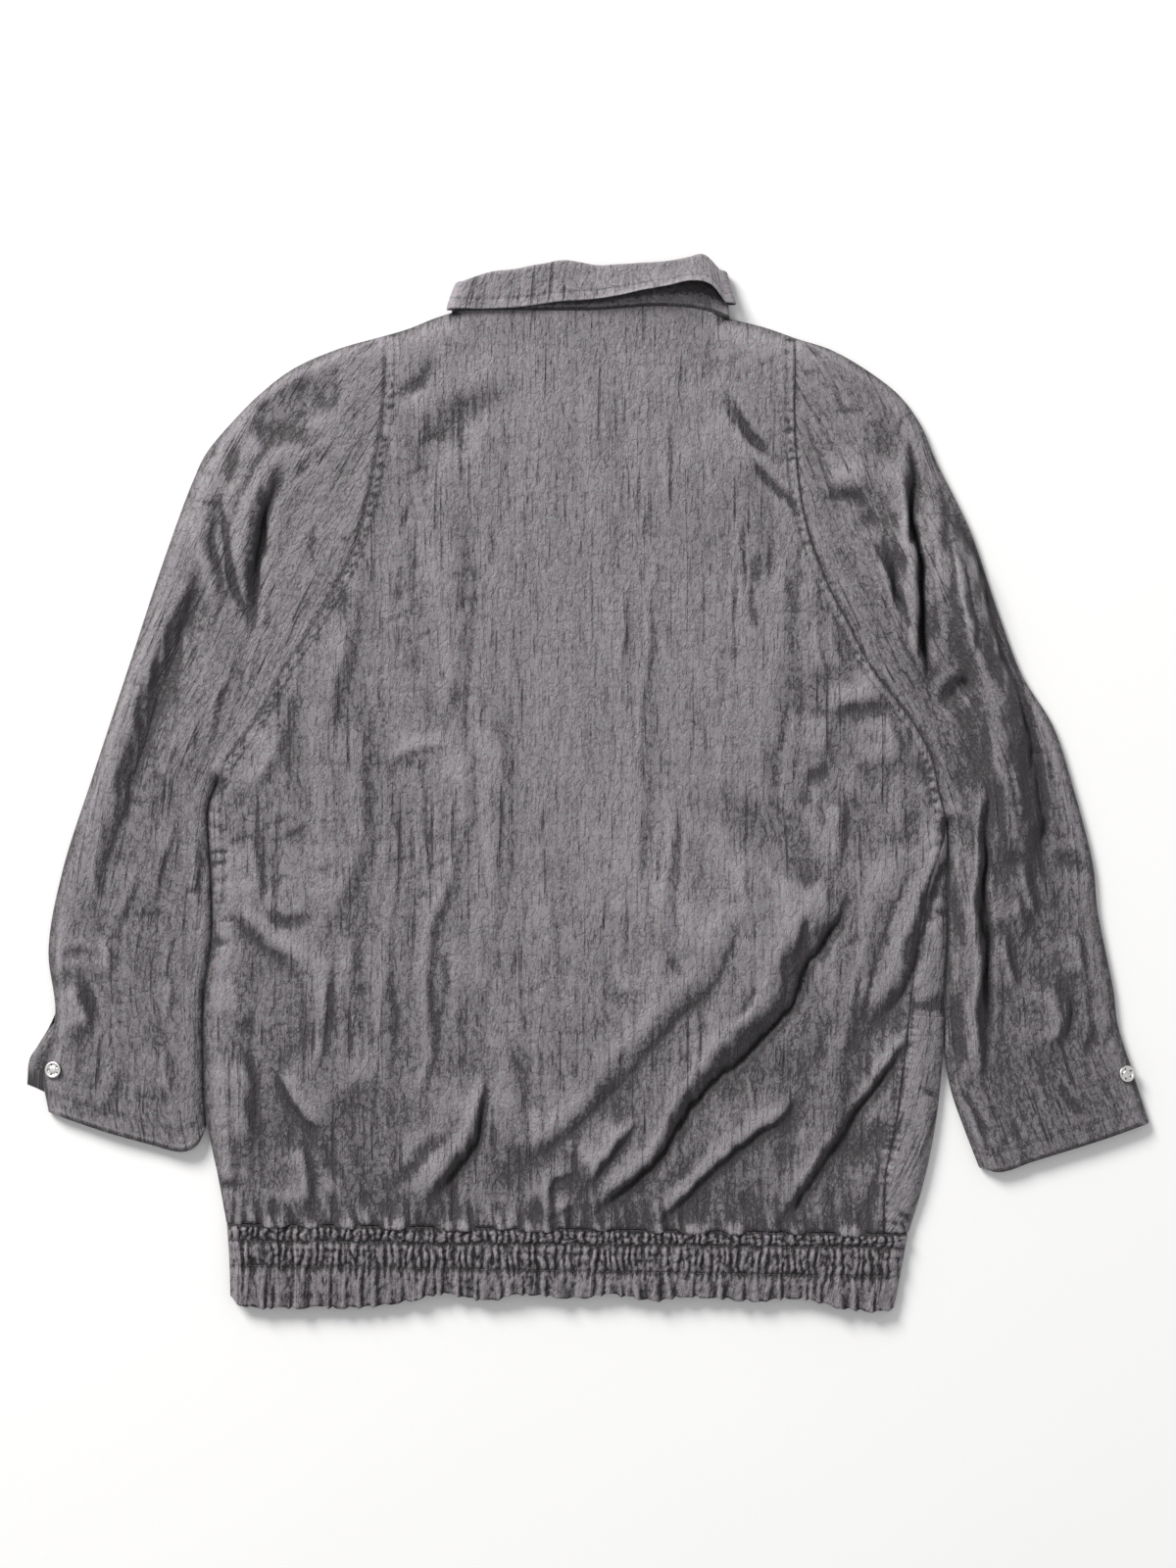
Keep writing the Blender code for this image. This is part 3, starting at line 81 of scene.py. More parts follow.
RIGHT_SIDE = [
    (WAIST_RIGHT_Y, 236, 219), (-290, 248, 220), (-250, 256, 228),
    (-205, 261, 234), (-160, 263, 239), (-115, 265.5, 244),
    (-70, 265, 253), (-28, 265, 264.9),
]
LEFT_ARMHOLE = [
    (19, -264), (35, -252), (58, -237), (83, -224), (112, -205), (169, -173),
    (235, -156), (288, -149), (330, -148),
]
RIGHT_ARMHOLE = [
    (-4, 259), (20, 254), (43, 242), (65, 226), (89, 208), (118, 193),
    (151, 176), (199, 160.5), (254, 154), (328, 154),
]
UNDERARM_Y = {"left": 2.0, "right": -28.0}
SHOULDER_X = {"left": -148.0, "right": 154.0}
SHOULDER_Y = {"left": 330.0, "right": 328.0}
NECK_X = {"left": -97.0, "right": 103.0}
BACK_TOP = [
    (-148, 330), (-131, 335), (-111, 343), (-97, 347), (-75, 348), (4, 348),
    (51, 351), (81, 349), (103, 343), (131, 336), (154, 328),
]
FRONT_NECK = [
    (-97, 347), (-82, 330), (-55, 312), (3, 298), (60, 311), (87, 328), (103, 343),
]
CENTRE_X = 3.0
SLEEVES = {
    "left": {
        "outer": [
            (-148, 330), (-183, 320), (-215, 306), (-238, 289), (-262, 265), (-280, 243), (-290, 222),
            (-312, 162), (-337, 86), (-363, 7), (-386, -65), (-396, -122), (-391, -168),
            (-397, -202), (-400, -216), (-396, -241),
        ],
        "inner": [
            (-271.6, 2), (-278.4, -17), (-278.6, -32), (-277.8, -50), (-276.1, -85), (-276.3, -115),
            (-281.2, -150), (-282.6, -174), (-282.4, -200), (-281.4, -235), (-280, -252),
        ],
        "cuff": [(-396, -241), (-355, -255), (-323, -264), (-297, -270), (-287, -266), (-280, -252)],
        "at_underarm": 0.52,
        "flap": (-16, 20),
    },
    "right": {
        "outer": [
            (154, 328), (181, 319), (210, 302), (231, 285), (246, 264), (257, 238), (282, 187),
            (303, 126), (320, 81), (343, 43), (358, -2), (373, -61), (376, -92), (388, -153),
            (391, -177), (402, -212), (414, -249),
        ],
        "inner": [
            (265.5, -28), (265.8, -58), (266.1, -94), (265.9, -122), (264.2, -151), (263.4, -173),
            (263.6, -199), (268, -225), (278, -254), (289, -282),
        ],
        "cuff": [(414, -249), (380, -261), (329, -277), (304, -285), (289, -282)],
        "at_underarm": 0.57,
        "flap": (0, 0),
    },
}
SLIT_SHARE = 0.77
FLAP_REACH = 45.0
OVERLAP = 15.0
FRONT_LIFT = 2.0
LIFT_FADE = 24.0
LIFT_MARGIN = 2.5
LIFT_HALF_WIDTH = 92.0
POCKET_MOUTH_Y = -165.0
POCKET_WIDTH = 128.0
POCKET_WALL = 1.0
POCKET_FADE = 14.0
LEFT_POCKET = {"inner_x": -128.0, "outer_x": -250.0}
LEAST_WRAP = 2.4
BAND_EDGES = {"left": [(WAIST_Y, -265.0), (-353.0, -263.0), (-381.0, -262.0)],
              "right": [(WAIST_RIGHT_Y, 236.0), (-359.0, 230.5), (-386.0, 224.0)]}
COLLAR_BACK = [
    (-97, 22, 18, 1), (-80, 27, 24, 1), (-52, 31, 27, 2),
    (-18, 36.5, 28, 4), (8, 32.5, 23, 7), (25, 32, 20.5, 9),
    (61, 33, 17, 14), (79, 37, 16, 15), (93, 42, 20, 12), (103, 34, 22, 5),
]
COLLAR_FRONT_FOLD = 27.0
COLLAR_FRONT_FALL = 24.0
COLLAR_TURN = {"front": FRONT_LIFT, "back": 3.4}
COLLAR_SIDE = 2.4
COLLAR_BLEND = 40.0
COLLAR_LEFT_LEAN = 0.115
COLLAR_RIGHT_LEAN = -0.05
COLLAR_LEAN_POWER = 1.3

# Folds of the laid cloth, piece by piece. Each row: path of (x, y) points, height (+ ridge,
# - trough), width of its steep side, on the path's left, and width of its easy side. A height or
# width in brackets changes along the path.
FOLDS = {"body": [
    # diagonal folds of the back's lower right
    ([(186, -52), (166, -78), (156, -98), (141, -116), (134, -128), (129, -150), (114, -170), (99, -187),
     (84, -203), (70, -222), (60, -242), (52, -262), (42, -277), (26, -291), (9, -307), (-4, -324)],
     (7, 15, 16, 15, 12, 9, 8), (20, 28, 28, 22, 12, 6, 6), 30),
    ([(154, -204), (156, -222), (148, -236), (129, -250), (110, -266), (90, -283), (75, -298), (58, -312),
     (40, -328)], (5, 7, 7, 7, 7), (5, 3.5, 3.5, 5), 24),
    ([(240, -168), (232, -186), (220, -202), (206, -222), (193, -240), (182, -256), (170, -272), (157, -290),
     (146, -305), (132, -326)], (5, 8, 8, 8, 8), (7, 6, 7, 8, 8), 15),
    ([(276, -10), (262, -42), (250, -68), (240, -92), (232, -112), (222, -138), (212, -158), (204, -175),
     (199, -192)], (4, 7, 8, 9, 9, 8, 5), (6, 8, 9, 14, 17, 14, 6), 13),
    ([(232, -30), (216, -62), (204, -95), (198, -125), (194, -155), (186, -190), (178, -225)],
     (3, 5.5, 5.5, 4.5, 3.5, 2.5), (22, 22, 16, 10, 9), 18),
    ([(37, -241), (27, -255), (16, -270), (6, -285), (-6, -297)], 7, 5, 14),
    ([(-2, -284), (-14, -284), (-24, -290), (-31, -305), (-34, -318)], 4.5, 4, 9),
    ([(-8, -298), (-14, -308), (-26, -314), (-36, -326)], 4, 3.5, 7),
    ([(108, -70), (98, -95), (85, -116), (77, -132), (60, -152), (44, -169), (25, -192), (5, -215),
     (-16, -240), (-40, -262), (-60, -285)], (2, 6, 7, 7, 7, 7, 6, 3), (18, 24, 22, 20, 16, 12), 24),
    ([(50, 190), (47, 145), (43, 100), (39, 70), (37, 30), (35, -20), (34, -60), (38, -100), (42, -135)],
     (0.8, 1.4, 2, 2.4, 2.4, 2.2, 1.8, 1.4), (4, 5, 7, 11, 13, 11, 10, 8), 14),
    ([(57, 0), (63, -30), (61, -50), (57, -80), (57, -115)], 1.8, 3.5, 8),
    ([(61, -122), (65, -134), (71, -146)], -2.4, 2.5, 3),
    ([(114, -45), (116, -80), (114, -112)], 2, 4, 8),
    ([(188, -5), (182, -30), (180, -50), (172, -72)], 4, 9, 10),
    ([(14, -126), (18, -145), (24, -156), (38, -153), (48, -147)], -1.4, 5, 5),
    ([(-30, -60), (-27, -90), (-24, -130), (-24, -180)], 1, 3, 8),
    ([(-34, -188), (-33, -236)], -1.4, 2.2, 2.2),
    ([(236, -248), (216, -256), (198, -272), (184, -286)], -2.8, 9, 9),
    ([(214, -132), (208, -172), (202, -212), (190, -250), (176, -292), (168, -318)], (-2, -5, -6, -6, -5),
     12, 12),
    ([(-246, -210), (-240, -250), (-226, -290), (-220, -318)], (-1, -2.5, -3, -2.5), 15, 15),
    ([(-172, -236), (-160, -268), (-150, -300), (-146, -326)], (-1, -2, -2.4, -2.4), 19, 19),
    ([(-36, -252), (-56, -284), (-78, -312)], -2.6, 17, 17),
    ([(216, -265), (224, -264), (233, -270)], -2.2, 3, 3),
    ([(183, -294), (178, -318)], -2.6, 3.5, 3.5),
    ([(213, -286), (210, -302), (207, -322)], -2.8, 3, 3.5),
    ([(192, -296), (188, -318)], -2, 3, 3),
    ([(158, -215), (152, -240), (146, -262), (140, -285), (130, -300)], -2.8, 6, 6),
    ([(175, -160), (172, -190), (168, -215)], -2.2, 4, 4),
    ([(118, -208), (104, -222), (90, -232)], -2.2, 6, 6),
    ([(90, -262), (66, -288), (44, -308)], -1.8, 8, 8),
    ([(168, -85), (160, -112), (152, -135)], -1.8, 3, 3),
    ([(124, -142), (118, -158), (104, -176)], -2.2, 3.5, 4),
    ([(180, -95), (176, -118), (166, -132)], -2.4, 4, 4),
    ([(90, -296), (87, -318)], -3, 3, 3),
    ([(118, -296), (114, -320)], -3, 3, 3),
    ([(156, -292), (152, -318)], -3.6, 3, 3),
    ([(64, -306), (60, -322)], -2.6, 3, 3),
    # right side of the back
    ([(92, 285), (101, 268), (112, 252), (124, 240), (138, 228)], 2.6, 8, 16),
    ([(100, 296), (106, 280), (113, 266), (122, 253), (133, 243), (148, 231)], (-1, -2, -3, -2.6, -1), 3,
     3.5),
    ([(112, 250), (124, 235), (137, 221), (150, 208), (156, 196), (157, 182)], -2, 2.4, 3),
    ([(157, 180), (156, 160), (159, 142)], -1.6, 3, 4),
    ([(140, 182), (136, 150), (132, 110), (129, 60), (126, 20), (127, -15), (133, -40)],
     (1.2, 3.4, 4.4, 4.4, 4, 3.2, 1.4), (9, 18, 21, 22, 19, 14, 9), 14),
    ([(127, 180), (123, 150), (122, 130), (125, 105)], -1.6, 3, 3),
    ([(147, 160), (152, 140), (156, 120)], -1.5, 3, 3),
    ([(168, 132), (170, 100), (169, 72)], 1.8, 4, 7),
    ([(176, 122), (182, 98), (187, 82)], 2.2, 4, 6),
    ([(222, 72), (208, 68), (190, 64), (172, 56)], 4.5, 12, 9),
    ([(217, 58), (220, 45), (223, 30), (220, 10)], 4, 8, 8),
    ([(176, 54), (174, 35), (172, 18)], 3.4, 6, 8),
    ([(180, 14), (168, 5), (157, 0)], -4.5, 5, 5),
    ([(161, 0), (160, -18)], -3.2, 3, 3),
    ([(140, -25), (150, -25), (163, -32)], -2, 3, 3),
    ([(168, -10), (173, -28), (178, -38)], -2.8, 3, 3),
    ([(196, 20), (198, 0), (203, -15)], 2, 5, 6),
    ([(238, 24), (246, 8), (252, -4)], -2.6, 7, 7),
    ([(244, -12), (238, -34), (230, -52)], -2.4, 7, 7),
    ([(236, -163), (230, -176), (226, -190)], -3, 3.5, 4),
    ([(258, -112), (248, -124), (244, -134)], -2.4, 4, 4),
    ([(254, -74), (250, -88), (246, -100)], -1.8, 5, 5),
    ([(80, 332), (92, 312), (98, 292)], -2.2, 9, 9),
    # upper left of the back, and its middle
    ([(-40, 306), (-66, 290), (-92, 274), (-110, 252), (-123, 222), (-136, 192)], (-2, -4.5, -5, -4.5, -2.5),
     14, 14),
    ([(-112, 326), (-118, 306), (-127, 291), (-141, 281)], -3.4, 6, 7),
    ([(-98, 215), (-100, 175), (-99, 140), (-101, 110), (-104, 75), (-112, 50), (-122, 32)],
     (0.8, 2.2, 3.8, 4.2, 3.8, 2.8, 1.4), (9, 15, 18, 19, 16, 10), 18),
    ([(-70, 195), (-69, 175), (-71, 150)], -1.2, 3.5, 3.5),
    ([(-128, 212), (-132, 200), (-137, 184)], -1.8, 2.5, 2.5),
    ([(-139, 150), (-138, 128)], -1.6, 2.5, 2.5),
    ([(-126, 108), (-124, 78)], -2, 3, 3),
    ([(57, 290), (58, 240), (59, 210), (61, 178)], 1.4, 3, 9),
    ([(26, 240), (22, 205), (18, 165)], 1, 4, 9),
    ([(32, 160), (27, 120), (25, 92), (28, 60)], 1.5, 3, 8),
    ([(8, 290), (12, 270), (14, 250)], 0.7, 4, 8),
    ([(95, 50), (97, 20), (95, -20)], 0.9, 4, 9),
    # left side of the back
    ([(-172, 138), (-178, 118), (-186, 90), (-194, 62), (-203, 35), (-208, 10)],
     (1.4, 3.8, 4.2, 4, 2.8, 1.4), 16, 14),
    ([(-224, 56), (-232, 26), (-244, 6), (-258, -14)], (1.5, 3.5, 3.5, 1.5), 11, 9),
    ([(-166, 70), (-170, 15), (-172, -10), (-170, -40), (-178, -65), (-190, -92), (-196, -120)],
     (1.5, 3.2, 3.8, 3.8, 3.2, 2), 14, 14),
    ([(-73, 70), (-72, 48), (-72, 20), (-74, -10), (-76, -50), (-80, -95), (-86, -140), (-92, -175)],
     (1.5, 3.4, 4.2, 4, 3.6, 3.2, 2.6, 1.4), (9, 16, 21, 21, 20, 18, 14), 14),
    ([(-92, 40), (-92, 5), (-91, -30), (-94, -50)], 3.4, 10, 8),
    ([(-97, -20), (-103, -60), (-110, -88), (-118, -112), (-121, -140), (-119, -170), (-118, -200),
     (-123, -222), (-130, -248)], (1.2, 2.6, 3.5, 3.8, 3.8, 3.6, 3.2, 2.4), (9, 9, 9, 9, 8, 8, 8), 14),
    ([(-154, -95), (-155, -140), (-156, -180), (-155, -215), (-154, -252)], (1.8, 3.4, 4, 3.4, 2), 15, 13),
    ([(-193, -112), (-192, -135), (-192, -155), (-196, -180), (-202, -210), (-206, -228)],
     (2.4, 4.6, 4.4, 3.6, 1.6), 7, 8),
    ([(-175, -100), (-175, -185)], 2.6, 6, 8),
    ([(-106, -115), (-106, -150), (-106, -200)], -1.6, 3, 3),
    ([(-92, -160), (-91, -195)], -1.4, 2.5, 2.5),
    ([(-246, -36), (-245, -70), (-243, -92)], 3.4, 7, 8),
    ([(-240, -90), (-226, -99), (-212, -101), (-194, -96)], -3, 6, 6),
    ([(-194, -144), (-206, -130), (-224, -114), (-244, -96), (-268, -70)], 4.5, 14, 9),
    ([(-262, -140), (-260, -155), (-258, -172)], 3.2, 4, 6),
    ([(-262, -180), (-250, -177), (-243, -166)], -2.8, 3.5, 3.5),
    ([(-262, -185), (-257, -200), (-253, -222), (-251, -248), (-250, -280)], (3, 6.5, 6.5, 5, 2),
     (9, 10, 9, 7), 8),
    ([(-184, -252), (-200, -248), (-208, -238), (-219, -220), (-230, -200)], (4, 6.5, 6.5, 5.5, 3), 5, 18),
    ([(-190, -252), (-192, -268), (-186, -284), (-178, -294)], -3.2, 5, 5),
    ([(-214, -256), (-209, -280), (-206, -300), (-206, -320)], 5, 7, 8),
    ([(-76, -200), (-80, -232), (-86, -254), (-96, -273), (-109, -288), (-119, -300), (-124, -322)],
     (5, 9, 10, 10, 9, 7), (4, 6, 8, 10, 10), 20),
    ([(-94, -256), (-114, -267), (-130, -283), (-146, -302)], -3.2, 6, 7),
    ([(-52, -175), (-48, -205), (-46, -235), (-58, -258), (-78, -258)], -2.4, 7, 7),
    ([(-203, -298), (-202, -320)], -3, 3, 3),
    ([(-188, -296), (-187, -314)], -3.2, 2.6, 2.6),
    ([(-154, -303), (-168, -310)], -4, 4, 4),
    ([(-148, -304), (-146, -320)], -2.8, 3, 3),
    ([(-100, -290), (-98, -312)], -3.2, 3, 3),
    ([(-72, -308), (-52, -314)], -3, 4, 4),
    ([(-232, -298), (-230, -320)], -2.4, 3, 3),
    ([(-252, -298), (-240, -320)], -2.2, 4, 4),
    ([(-84, 32), (-106, 30), (-126, 27), (-140, 20), (-154, 6)], (1, 2, 2.4, 2.4, 1), 5, 9),
    ([(-137, 15), (-128, 15), (-117, 12)], -2.2, 2.2, 2.2),
    ([(-260, -84), (-272, -78)], -3, 3, 3),
    ([(-260, -108), (-270, -100)], -2.4, 3, 3),
    ([(-212, 70), (-214, 55), (-216, 42)], -1.8, 3.5, 3.5),
], "left": [
    ([(-186, 300), (-208, 288), (-232, 274), (-252, 254)], -7, 15, 15),
    ([(-196, 276), (-214, 270), (-236, 258)], -5, 10, 10),
    ([(-222, 256), (-238, 226), (-250, 202), (-255, 172), (-253, 142), (-249, 126)], (3, 7, 9, 9, 8, 4),
     (13, 14, 16, 13, 9), 14),
    ([(-216, 234), (-229, 216), (-235, 204), (-238, 180), (-241, 155), (-244, 134), (-246, 112), (-247, 98)],
     (-1.5, -5, -8, -8.5, -8.5, -8, -6), 1.5, 6),
    ([(-272, 226), (-270, 206), (-266, 182), (-262, 160), (-258, 141), (-251, 123), (-244, 111)],
     (-2.5, -3, -3, -3.4, -4.4, -4), 2.2, 3),
    ([(-284, 240), (-276, 244), (-272, 236)], -4, 5, 5),
    ([(-281, 220), (-284, 198), (-285, 178), (-280, 158), (-277, 138), (-270, 116)], (4, 6, 6.5, 5.5, 3), 11,
     8),
    ([(-287, 178), (-297, 146), (-306, 122), (-315, 96), (-327, 68), (-337, 40), (-348, 8), (-355, -22),
     (-361, -50), (-366, -80), (-370, -105)], (3, 6, 7.5, 8, 8, 7.5, 6, 4, 2),
     (7, 11, 13, 14, 16, 17, 14, 9, 7), 10),
    ([(-274, 176), (-286, 146), (-296, 118), (-308, 88), (-320, 56), (-332, 24), (-340, -8), (-348, -40)],
     (-1.5, -5, -5.5, -5.5, -5, -3.5), 11, 12),
    ([(-204, 294), (-214, 284), (-226, 277), (-243, 277), (-247, 268)], -3.6, 4, 5),
    ([(-262, 258), (-240, 262), (-216, 258), (-198, 254), (-186, 258)], -3.8, 9, 9),
    ([(-178, 312), (-186, 296), (-196, 280), (-206, 266)], -3.4, 9, 9),
    ([(-160, 290), (-168, 270), (-176, 250)], -1.8, 6, 6),
    ([(-256, 256), (-262, 236), (-262, 215)], -2.6, 4, 5),
    ([(-188, 248), (-204, 238), (-215, 222)], -2.2, 4, 4),
    ([(-200, 200), (-201, 176), (-200, 150)], -1.4, 4, 4),
    ([(-199, 140), (-210, 132), (-216, 120)], -2, 5, 5),
    ([(-240, 136), (-233, 130), (-234, 120), (-240, 112)], -2.8, 3, 3),
    ([(-258, 104), (-266, 80), (-273, 56), (-280, 30), (-287, 2), (-291, -22)], 3.4, 4.5, 8),
    ([(-252, 98), (-256, 72), (-259, 48)], -1.8, 2.5, 3),
    ([(-251, 80), (-244, 75)], -2.2, 2.2, 2.2),
    ([(-284, 60), (-290, 30), (-296, -5), (-300, -20)], 2.2, 5, 8),
    ([(-298, 44), (-305, 18), (-310, -5)], 1.8, 4, 7),
    ([(-304, -20), (-309, -45), (-316, -72), (-324, -104)], 2.4, 4, 9),
    ([(-328, 2), (-334, -25)], -1.2, 3, 3),
    ([(-330, -50), (-336, -80), (-347, -106)], 1.8, 5, 8),
    ([(-388, -128), (-374, -123), (-362, -120)], -3, 5, 5),
    ([(-356, -106), (-352, -124), (-357, -144)], 3, 6, 7),
    ([(-384, -140), (-377, -157), (-371, -172), (-367, -190)], (4, 6.5, 6.5, 3), 13, 8),
    ([(-297, -100), (-297, -118)], -1.6, 2.5, 2.5),
    ([(-310, -138), (-308, -158), (-311, -178)], 2.4, 4, 6),
    ([(-309, -190), (-309, -212), (-307, -234)], 3.4, 5, 6),
    ([(-340, -210), (-349, -232), (-357, -250)], -2.2, 5, 5),
    ([(-392, -222), (-388, -236)], -1.6, 3, 3),
    ([(-282, -30), (-284, -60), (-282, -95)], -3, 4, 3),
], "right": [
    ([(229, 266), (231, 236), (232, 212), (235, 186), (239, 160), (242, 130), (240, 102), (246, 76),
     (252, 58)], (4, 8, 9, 9, 9, 8, 8, 5), (5, 9, 7, 5, 5, 5, 7, 5), 12),
    ([(238, 238), (239, 210), (242, 182), (246, 155), (248, 128), (247, 102), (251, 80), (255, 60)],
     (-4, -7, -6.5, -6.5, -6.5, -7, -5), 1.6, 4),
    ([(250, 236), (252, 200), (256, 165), (258, 130), (258, 95), (262, 70)], 4, 12, 5),
    ([(242, 272), (232, 268), (229, 254)], -2.6, 2.5, 3),
    ([(240, 108), (240, 140), (237, 165), (226, 183), (208, 190), (196, 186)], (3, 6, 7, 7, 5, 2), 13, 6),
    ([(200, 180), (215, 172), (223, 160), (228, 142), (233, 122), (238, 108)], -3.8, 3, 2.2),
    ([(218, 220), (202, 228), (182, 228), (160, 226)], (3, 6.5, 6.5, 4), 20, 12),
    ([(206, 206), (204, 192), (198, 182)], -2.6, 7, 7),
    ([(252, 226), (258, 204), (268, 185), (276, 168), (282, 150), (289, 125), (296, 102), (300, 80),
     (304, 60), (308, 38), (312, 15), (316, -10), (318, -35), (322, -58), (330, -84)],
     (3, 6, 7, 8, 8.5, 8.5, 8.5, 8.5, 7, 5, 3), (7, 9, 11, 12, 14, 17, 20, 22, 22, 16, 10), 8),
    ([(256, 200), (268, 172), (276, 140), (281, 108), (288, 76), (294, 46), (300, 18), (306, -12),
     (312, -44), (322, -76)], (2, 8, 11, 12, 12, 12, 11, 8, 3), (10, 18, 20, 24, 28, 30, 26, 18), 6),
    ([(264, 185), (272, 156), (277, 126), (279, 100), (274, 84)], (2, 4, 5, 6, 6), (4, 5, 6, 7), 7),
    ([(282, 86), (274, 73), (265, 62), (257, 53)], (-6, -8, -7, -4), 7, 7),
    ([(299, 96), (306, 91), (316, 89)], -3.2, 2.5, 2.5),
    ([(322, 26), (332, 22), (343, 22)], -3.2, 2.5, 2.5),
    ([(256, 42), (261, 30), (267, 19)], -3.2, 3, 3),
    ([(268, 18), (275, 6), (281, -4)], -2.8, 2.5, 3),
    ([(286, 18), (286, -20), (285, -60), (285, -100), (285, -140), (285, -175), (286, -205), (282, -234)],
     (5, 7.5, 7.5, 7.5, 7.5, 7, 6, 4), 8, 9),
    ([(293, 12), (294, -30), (293, -80), (293, -130), (293, -185), (290, -215)], -2.6, 2, 4),
    ([(292, 62), (293, 30), (296, 0)], -2.8, 5, 5),
    ([(318, -55), (324, -82), (330, -106)], 4.4, 8, 9),
    ([(342, -46), (352, -54), (364, -60), (370, -68)], -3.2, 7, 7),
    ([(309, -76), (316, -92), (319, -108), (316, -122)], 3, 6, 8),
    ([(305, -106), (308, -128), (314, -144), (320, -156)], 4, 6, 8),
    ([(340, -132), (343, -152), (345, -172), (341, -192), (345, -210)], (3, 6.5, 6.5, 5.5, 3),
     (8, 12, 11, 9), 9),
    ([(347, -216), (356, -233), (364, -246)], -3.2, 2.6, 3),
    ([(356, -104), (362, -126), (366, -144)], 3, 5, 7),
    ([(371, -172), (372, -188), (367, -204)], -3.4, 3, 3),
    ([(386, -172), (385, -184), (380, -194)], -2.8, 3, 3),
    ([(366, -156), (378, -162)], -2.6, 6, 6),
    ([(300, -232), (302, -250)], -3.6, 3, 3),
    ([(309, -256), (303, -270)], -2.8, 3.5, 3.5),
    ([(268, -66), (272, -95), (271, -126)], -3.2, 3, 3),
    ([(266, -138), (270, -170), (270, -200), (268, -224)], -5, 6, 5),
    ([(268, -203), (278, -226), (285, -244), (291, -261), (298, -288)], -1.5, 1.6, 1.6),
]}
# Share of a fold's height that is built, by piece and sign, and the length under which it shrinks
PIECE_SHARE = {"body": 1.0, "left": 1.0, "right": 1.2}
FOLD_SHARE = 0.68
HOLLOW_SHARE = 0.75
FULL_LENGTH = 52.0
# Share of the path over which each end fades
FOLD_END = 0.36
HOLLOW_END = 0.4
FADE_LENGTH = 46.0
# Cross-section: the easy side's spread, and the dip at the foot of the steep side of high folds
FOLD_REACH = 5.0
SOFT_POWER = 1.4
EASY_SPREAD = 2.7
FOOT_SHARE = 0.36
FOOT_WIDTH = 2.0
FOOT_PLACE = 0.95
FOOT_FULL_HEIGHT = 7.0
FAR = 1e9


def smooth_line(rows, count=360):
    """A centripetal Catmull-Rom curve through rows, as count points evenly spaced along it."""
    points = np.asarray(rows, float)
    points = np.vstack([2.0 * points[0] - points[1], points, 2.0 * points[-1] - points[-2]])
    dense = []
    for p0, p1, p2, p3 in zip(points[:-3], points[1:-2], points[2:-1], points[3:]):
        t1 = math.sqrt(np.linalg.norm(p1 - p0))
        t2 = t1 + math.sqrt(np.linalg.norm(p2 - p1))
        t3 = t2 + math.sqrt(np.linalg.norm(p3 - p2))
        t = np.linspace(t1, t2, 32, endpoint=False)[:, None]
        a1 = (t1 - t) / t1 * p0 + t / t1 * p1
        a2 = (t2 - t) / (t2 - t1) * p1 + (t - t1) / (t2 - t1) * p2
        a3 = (t3 - t) / (t3 - t2) * p2 + (t - t2) / (t3 - t2) * p3
        b1 = (t2 - t) / t2 * a1 + t / t2 * a2
        b2 = (t3 - t) / (t3 - t1) * a2 + (t - t1) / (t3 - t1) * a3
        dense.append((t2 - t) / (t2 - t1) * b1 + (t - t1) / (t2 - t1) * b2)
    dense.append(points[-2][None, :])
    return along(np.vstack(dense), np.linspace(0.0, 1.0, count))


def lengths(line):
    """Length along a line up to each of its points."""
    return np.concatenate([[0.0], np.cumsum(np.linalg.norm(np.diff(line, axis=0), axis=1))])


def along(line, fractions):
    """Points at the given fractions of a line's length."""
    length = lengths(line)
    wanted = np.asarray(fractions) * length[-1]
    return np.stack([np.interp(wanted, length, column) for column in line.T], axis=-1)


def unit(vectors):
    return vectors / np.maximum(np.linalg.norm(vectors, axis=-1, keepdims=True), TINY)


def leftward(line):
    """Unit vectors square to a line in its own plane, to its left."""
    step = unit(np.gradient(line, axis=0))
    return np.stack([-step[:, 1], step[:, 0]], axis=1)


def normals(points):
    """Unit normals of a grid of points."""
    return unit(np.cross(np.gradient(points, axis=0), np.gradient(points, axis=1)))


def smooth_step(value):
    value = np.clip(value, 0.0, 1.0)
    return value * value * (3.0 - 2.0 * value)


def quarter_round(value):
    short = 1.0 - np.clip(value, 0.0, 1.0)
    return np.sqrt(np.maximum(1.0 - short * short, 0.0))


def bell(value, width):
    return np.exp(-((value / width) ** 2))


def side_line(name, column=1):
    """The body's boundary from the waist to the shoulder as (y, x)."""
    side = LEFT_SIDE if name == "left" else RIGHT_SIDE
    armhole = LEFT_ARMHOLE if name == "left" else RIGHT_ARMHOLE
    return smooth_line([(row[0], row[column]) for row in side] + list(armhole))


SIDE_LINE = {"left": side_line("left"), "right": side_line("right")}
SEAM_LINE = side_line("right", 2)
BACK_TOP_LINE = smooth_line(BACK_TOP)
FRONT_NECK_LINE = smooth_line(FRONT_NECK)
SLEEVE_LINES = {
    side: {edge: smooth_line(lines[edge]) for edge in ("outer", "inner", "cuff")}
    for side, lines in SLEEVES.items()
}
ARMHOLE_LINE = {
    side: line[line[:, 0] >= UNDERARM_Y[side] - 0.01][:, ::-1] for side, line in SIDE_LINE.items()
}


def side_x(name, y):
    return np.interp(y, *SIDE_LINE[name].T)


def seam_x(y):
    return np.interp(y, *SEAM_LINE.T)


def waist_y(x):
    return WAIST_Y + WAIST_SLOPE * (x - WAIST_LEFT_X)


def back_top_y(x):
    return np.interp(x, *BACK_TOP_LINE.T)


def front_top_y(x):
    neckline = np.interp(x, *FRONT_NECK_LINE.T)
    return np.where((x > NECK_X["left"]) & (x < NECK_X["right"]), neckline, back_top_y(x))


